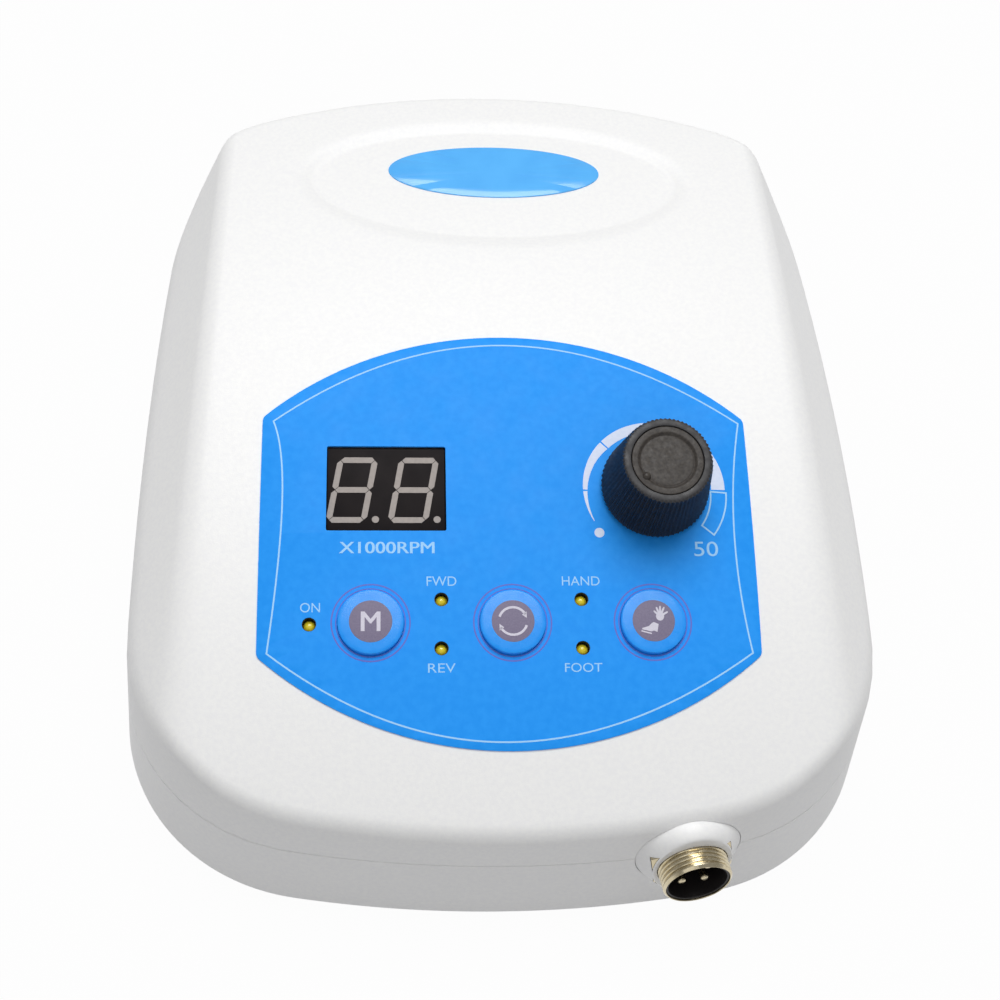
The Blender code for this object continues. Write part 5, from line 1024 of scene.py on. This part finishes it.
def makeKeys():
    size = inMm({"radius": 6.8, "rise": 1.35, "crown": 5.9, "drop": 0.12, "round": 0.3,
                 "flange": 8.2, "flangeTop": -3.3, "flangeLow": -4.1, "disc": 4.4,
                 "discProud": 0.03, "discRound": 0.02, "discSink": 0.5, "stem": 1.7,
                 "stemLow": -6.8, "iconSink": 0.02, "iconTop": 0.06})
    rise, radius, disc = size["rise"], size["radius"], size["disc"]
    face, back = rise + size["discProud"], rise - size["discSink"]
    capProfile = softened([(0, rise), (size["crown"], rise),
                           (radius, rise - size["drop"], size["round"]),
                           (radius, size["flangeTop"]), (size["flange"], size["flangeTop"]),
                           (size["flange"], size["flangeLow"]), (0, size["flangeLow"])])
    discProfile = softened([(0, face), (disc, face, size["discRound"]), (disc, back),
                            (size["stem"], back), (size["stem"], size["stemLow"]),
                            (0, size["stemLow"])])
    for name in keyNames:
        body, place = name + "_key", spotFrame(*panelSpots[name])
        finish(lathe(body + "Cap", capProfile, 128, place), keyLook, body,
               nodes=[name + "_button"], slot="clear_silicone")
        finish(lathe(body + "Disc", discProfile, 96, place), discLook, body,
               nodes=[name + "_stem"], slot="grey_plastic")
        makeIcon(name, body, place, rise + size["iconSink"], rise + size["iconTop"])


def makeIcon(name, body, place, low, high):
    icon = inMm({"letter": (4.0, 4.1), "bold": 0.1, "arc": 2.9, "line": 0.5,
                 "barbs": (3.45, 2.3), "sole": 0.28},
                {"palmPlace": (1.35, 0.95), "palm": (0.85, 0.95), "wrist": (1.35, 0.9),
                 "fingers": ((0.1, 2.1), (0.65, 2.9), (1.45, 3.15), (2.3, 2.9), (3.0, 1.9)),
                 "fingerShares": (0, 0.25, 0.5, 0.75, 0.93, 1),
                 "fingerWidths": (0.5, 0.46, 0.42, 0.4, 0.34, 0.16),
                 "shoe": ((0.0, -0.3), (0.95, -0.75), (0.62, -2.4), (-0.1, -2.1),
                          (-0.6, -2.3), (-2.5, -1.85), (-2.45, -1.55), (-1.1, -1.15),
                          (-0.35, -0.45)),
                 "solePath": ((-2.7, -2.15), (-1.6, -2.45), (-0.55, -2.72))})
    pieces = []

    def around(radius, angle):
        return radius * math.cos(angle), radius * math.sin(angle)

    if name == "mode":
        letter = words("letter", "M", (0, 0), *icon["letter"], icon["bold"])
        points = getPoints(letter)
        points[:, 2] += (low + high) / 2 - points[:, 2].mean()
        setPoints(letter, points)
        pieces.append(letter)
    elif name == "direction":
        for turn in (0, math.pi):
            path = [around(icon["arc"], angle + turn)
                    for angle in np.radians(np.linspace(162, 28, 26))]
            pieces.append(stroke("arrowArc", path, icon["line"], low, high))
            tip, wing = math.radians(12) + turn, math.radians(36) + turn
            outline = [around(icon["arc"], tip)] + [around(barb, wing) for barb in icon["barbs"]]
            pieces.append(slab("arrowTip", outline, low, high))
    else:
        palm = (circle(32) * icon["palm"] + icon["palmPlace"]) * mm
        pieces.append(slab("palm", palm, low, high))
        wrist = Vector(icon["wrist"]) * mm
        for index, finger in enumerate(icon["fingers"]):
            path = [tuple(wrist.lerp(Vector(finger) * mm, t)) for t in icon["fingerShares"]]
            pieces.append(stroke("finger", path, np.array(icon["fingerWidths"]) * mm, low,
                                 high + (index + 1) * overlay["layer"]))
        pieces.append(slab("shoe", np.array(icon["shoe"]) * mm, low, high))
        pieces.append(stroke("sole", np.array(icon["solePath"]) * mm, icon["sole"], low, high))
    icon = join(body + "Icon", pieces)
    icon.data.transform(place)
    finish(icon, iconLook, body)


def makeLamps():
    size = inMm({"lens": 1.32, "sleeve": 1.45, "sink": 0.75, "length": 5.0, "flange": 1.9,
                 "low": -7, "slit": 0.04, "sleeveTop": 0.12, "sleeveLow": -4},
                {"dome": 0.8})
    radius, top = size["lens"], -size["sink"]
    profile = [(radius * math.sin(a), top - radius * size["dome"] * (1 - math.cos(a)))
               for a in np.linspace(0, math.pi / 2, 8)]
    profile += [(radius, top - size["length"]), (size["flange"], top - size["length"]),
                (size["flange"], size["low"]), (0, size["low"])]
    inner = radius + size["slit"]
    tube = [(inner, size["sleeveTop"]), (size["sleeve"], size["sleeveTop"]),
            (size["sleeve"], size["sleeveLow"]), (inner, size["sleeveLow"]),
            (inner, size["sleeveTop"])]
    for name, spot in lampSpots.items():
        place = spotFrame(*spot)
        finish(lathe(name + "LampLens", profile, 48, place), lampLook, nodes=[name + "_led"],
               slot="lamp_yellow")
        # The black sleeve is painted shade that darkens each lamp hole above its lens
        finish(lathe(name + "LampSleeve", tube, 48, place), lampHoleShadeLook)


makeDisplay()
makeKeys()
makeLamps()
print("display, keys and lamps made")


# Speed knob: ribbed cone with a let-in cap

def makeKnob():
    size = inMm({"depth": 0.6, "baseRadius": 11.65, "topRadius": 9.3, "bottom": 1.3,
                 "top": 16.8, "cap": 7.35, "groove": 0.09, "capThickness": 1.6, "capSink": 0.12,
                 "inner": 5.8, "pocket": 1.9, "skirt": 8.2, "skirtTop": 5.0, "bore": 3.3,
                 "boreTop": 12.8, "dot": 0.95, "dotPlace": 5.7, "dotSink": 0.45},
                {"ribs": 64, "points": 8, "ribShape": 0.7, "dotAngle": math.radians(217)})
    place = spotFrame(*panelSpots["knob"])
    sectors = size["ribs"] * size["points"]
    angles = np.arange(sectors) * 2 * math.pi / sectors
    wave = ((1 - np.cos(angles * size["ribs"])) / 2) ** size["ribShape"]
    bottom, top, depth = size["bottom"], size["top"], size["depth"]
    outer, bore = size["topRadius"], size["cap"] + size["groove"]

    def ring(radius, height, depth=0.0):
        return atHeight(circle(sectors) * (radius - depth * wave)[:, None], height)

    def side(height):
        part = (height - bottom) / (top - bottom)
        return size["baseRadius"] + (outer - size["baseRadius"]) * part

    # From the cap's pocket over the rounded rim, down the ribs and up into the bore
    rings = [ring(0, top - size["pocket"]), ring(bore, top - size["pocket"])]
    rings += [ring(radius, top - sink * mm, depth * share) for radius, sink, share in (
        (bore, 0.25, 0), (bore + 0.12 * mm, 0.05, 0), (bore + 0.3 * mm, 0, 0),
        (outer - 0.75 * mm, 0, 0), (outer - 0.4 * mm, 0.08, 0), (outer - 0.05 * mm, 0.32, 0.35))]
    rings += [ring(side(height), height, depth)
              for height in np.linspace(top - 0.8 * mm, bottom + 0.7 * mm, 9)]
    rings += [ring(side(bottom) - 0.1 * mm, bottom + 0.2 * mm, depth * 0.6),
              ring(side(bottom) - 0.35 * mm, bottom), ring(size["skirt"], bottom),
              ring(size["skirt"], size["skirtTop"]), ring(size["bore"], size["skirtTop"]),
              ring(size["bore"], size["boreTop"]), ring(0, size["boreTop"])]
    knob = wrapGrid("speedKnob", rings)
    knob.data.transform(place)
    finish(knob, knobLook, "speed_knob", nodes=["speed_knob"], slot="black_plastic", angle=40)

    # The cap: (radius, sink below its rim, rounding), with a dish inside a raised edge
    capTop, inner, low = top - size["capSink"], size["inner"], size["capThickness"]
    profile = softened([(radius, capTop - sink, *reach) for radius, sink, *reach in (
        (0, 0.42 * mm), (inner - 0.5 * mm, 0.42 * mm, 0.2 * mm),
        (inner - 0.3 * mm, 0.5 * mm, 0.08 * mm), (inner - 0.1 * mm, 0.36 * mm, 0.08 * mm),
        (inner + 0.3 * mm, 0, 0.2 * mm), (size["cap"], 0, 0.18 * mm), (size["cap"], low),
        (0, low))])
    cap = lathe("knobCap", profile, 160)
    angle, reach = size["dotAngle"], size["dotPlace"]
    deselect()
    bpy.ops.mesh.primitive_uv_sphere_add(segments=32, ring_count=16, radius=size["dot"],
                                         location=(reach * math.cos(angle),
                                                   reach * math.sin(angle),
                                                   capTop - size["dotSink"]))
    cut(cap, settle("dot"), "UNION")
    cap.data.transform(place)
    finish(cap, capLook, "speed_knob", nodes=["knob_cap"], slot="black_plastic")


# Handpiece socket in the front wall

def makeSocket():
    size = inMm({"collar": 11.2, "collarLow": -5, "collarSink": 0.4, "crest": 3.2,
                 "crestSide": 8.2, "crestSwell": 1.3, "crestRound": 0.15, "barrel": 7.3,
                 "slit": 0.12, "bore": 6.75, "reach": 7.6, "rim": 0.12, "thread": 0.4,
                 "pitch": 0.95, "firstTurn": 0.45, "flange": 9.5, "flangeTop": -5.3,
                 "low": -6.9, "flats": 8.3, "nut": 1.5, "nutLow": 1.35, "nutSlit": 0.1,
                 "face": -2.0, "sleeve": 0.5, "lip": 0.35, "back": -7.5, "pin": 1.0,
                 "pinCircle": 3.5, "pinReach": 7.4, "pinLow": 8.5},
                {"turns": 5, "sectors": 160, "nutTurn": math.radians(10)})
    ring, nutLow = size["barrel"] + size["slit"], size["nutLow"]

    def nutBlank(name, flats, low, high):
        return rod(name, flats / math.cos(math.pi / 6), low, high,
                   Matrix.Rotation(size["nutTurn"], 4, "Z"), 6)

    # The collar swells over the nut, and more above and below than at its sides
    around = circle(size["sectors"])
    swell = np.sin(np.arange(size["sectors"]) * 2 * math.pi / size["sectors"]) ** 2
    crest, foot, low = size["crest"], size["collar"], size["collarLow"]
    start = size["crestSide"] + size["crestSwell"] * swell
    rings = [(ring, low), (ring, crest - size["crestRound"]),
             (ring + size["crestRound"], crest)]
    for turn in np.linspace(0, math.pi / 2, 9):
        fall = swell * (1 - math.cos(turn)) + (1 - swell) * math.sin(turn)
        rings.append((start + (foot - start) * math.sin(turn),
                      crest - (crest + size["collarSink"]) * fall))
    rings += [(foot, low), (ring, low)]
    collar = wrapGrid("socketCollar", [
        atHeight(around * np.broadcast_to(radius, len(around))[:, None], height)
        for radius, height in rings])
    slit = size["nutSlit"]
    cut(collar, nutBlank("nutPocket", size["flats"] + slit, nutLow - slit,
                         nutLow + size["nut"] + slit))
    collar.data.transform(socketFrame)
    finish(collar, whiteLook, nodes=["socket_collar"], slot="white_abs")

    radius, root, reach = size["barrel"], size["barrel"] - size["thread"], size["reach"]
    bore, last = size["bore"], reach - size["firstTurn"] - size["turns"] * size["pitch"]
    profile = [(bore, reach - size["rim"]), (bore + size["rim"], reach),
               (root - 0.1 * mm, reach)]
    # Each ridge of the thread: a softened crest, its slope and a flat root
    for turn in range(size["turns"]):
        crest = reach - size["firstTurn"] - turn * size["pitch"]
        profile += [(radius - 0.08 * mm, crest), (radius, crest - 0.1 * mm),
                    (radius, crest - 0.3 * mm), (radius - 0.08 * mm, crest - 0.4 * mm),
                    (root, crest - 0.62 * mm), (root, crest - 0.78 * mm)]
    profile += [(radius, last), (radius, size["flangeTop"]), (size["flange"], size["flangeTop"]),
                (size["flange"], size["low"]), (bore, size["low"]), (bore, reach - size["rim"])]
    finish(lathe("socketShell", profile, 128, socketFrame), nickelLook, nodes=["socket_shell"],
           slot="nickel", angle=28)

    # The nut's chamfered corners come from a turned blank crossed with a hexagon
    low, high = nutLow, nutLow + size["nut"]
    corner = size["flats"] / math.cos(math.pi / 6)
    nut = nutBlank("socketNut", size["flats"], low, high)
    cut(nut, lathe("blank", [(0, low), (corner * 0.95, low), (corner * 1.02, low + 0.4 * mm),
                             (corner * 1.02, high - 0.5 * mm), (corner * 0.92, high),
                             (0, high)]), "INTERSECT")
    cut(nut, rod("bore", ring, low - 2 * mm, high + 2 * mm, None, 96))
    nut.data.transform(socketFrame)
    finish(nut, nickelLook, nodes=["socket_nut"], slot="nickel")

    # The insulator's black sleeve lines the bore almost to the rim
    face, back = size["face"], size["back"]
    liner, lip = bore - 0.05 * mm, reach - size["lip"]
    inner = liner - size["sleeve"]
    profile = softened([(0, face), (inner, face, 0.2 * mm), (inner, lip, 0.15 * mm),
                        (liner, lip, 0.1 * mm), (liner, back), (0, back)])
    finish(lathe("socketInsulator", profile, 96, socketFrame), insulatorLook,
           nodes=["socket_insert"], slot="black_plastic")
    tip, low = face + size["pinReach"], face - size["pinLow"]
    profile = softened([(0, tip), (size["pin"], tip, 0.6 * mm), (size["pin"], low), (0, low)])
    pins = [lathe("pin", profile, 32, socketFrame @ Matrix.Translation((x, y, 0)))
            for x, y in circle(4, 0.5) * size["pinCircle"]]
    finish(join("socketPins", pins), nickelLook)


makeKnob()
makeSocket()
print("knob and socket made")


# Nodes of the CAD model that stay, each with its own material

corners = ("front_left", "front_right", "rear_left", "rear_right")
nodeLooks = (
    (blackLook, ["mode_switch", "direction_switch", "hand_foot_switch", "motor_driver",
                 "filter_capacitor", "relay", "controller_chip", "switch_frame",
                 "switch_rocker", "mains_inlet", "fuse_holder", "fuse_cap"]),
    (aluminiumLook, ["knob_shaft", "heatsink"]),
    (steelLook, ["potentiometer", "plate_screw_left", "plate_screw_right",
                 "transformer_bracket"] + ["case_screw_" + corner for corner in corners]),
    (nickelLook, ["potentiometer_nut", "foot_socket_shell", "foot_socket_nut"]),
    (boardLook, ["display_board", "main_board"]), (greyPlateLook, ["rear_plate"]),
    (insulatorLook, ["foot_socket_insert"]), (laminateLook, ["transformer_core"]),
    (windingLook, ["transformer_coil"]),
    (leadLook, ["motor_lead", "mains_lead", "ribbon_cable"]),
    (rubberLook, ["rubber_foot_" + corner for corner in corners]))
for look, names in nodeLooks:
    for name in names:
        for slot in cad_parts[name].material_slots:
            slot.material = look
print("carried-over nodes given their materials")
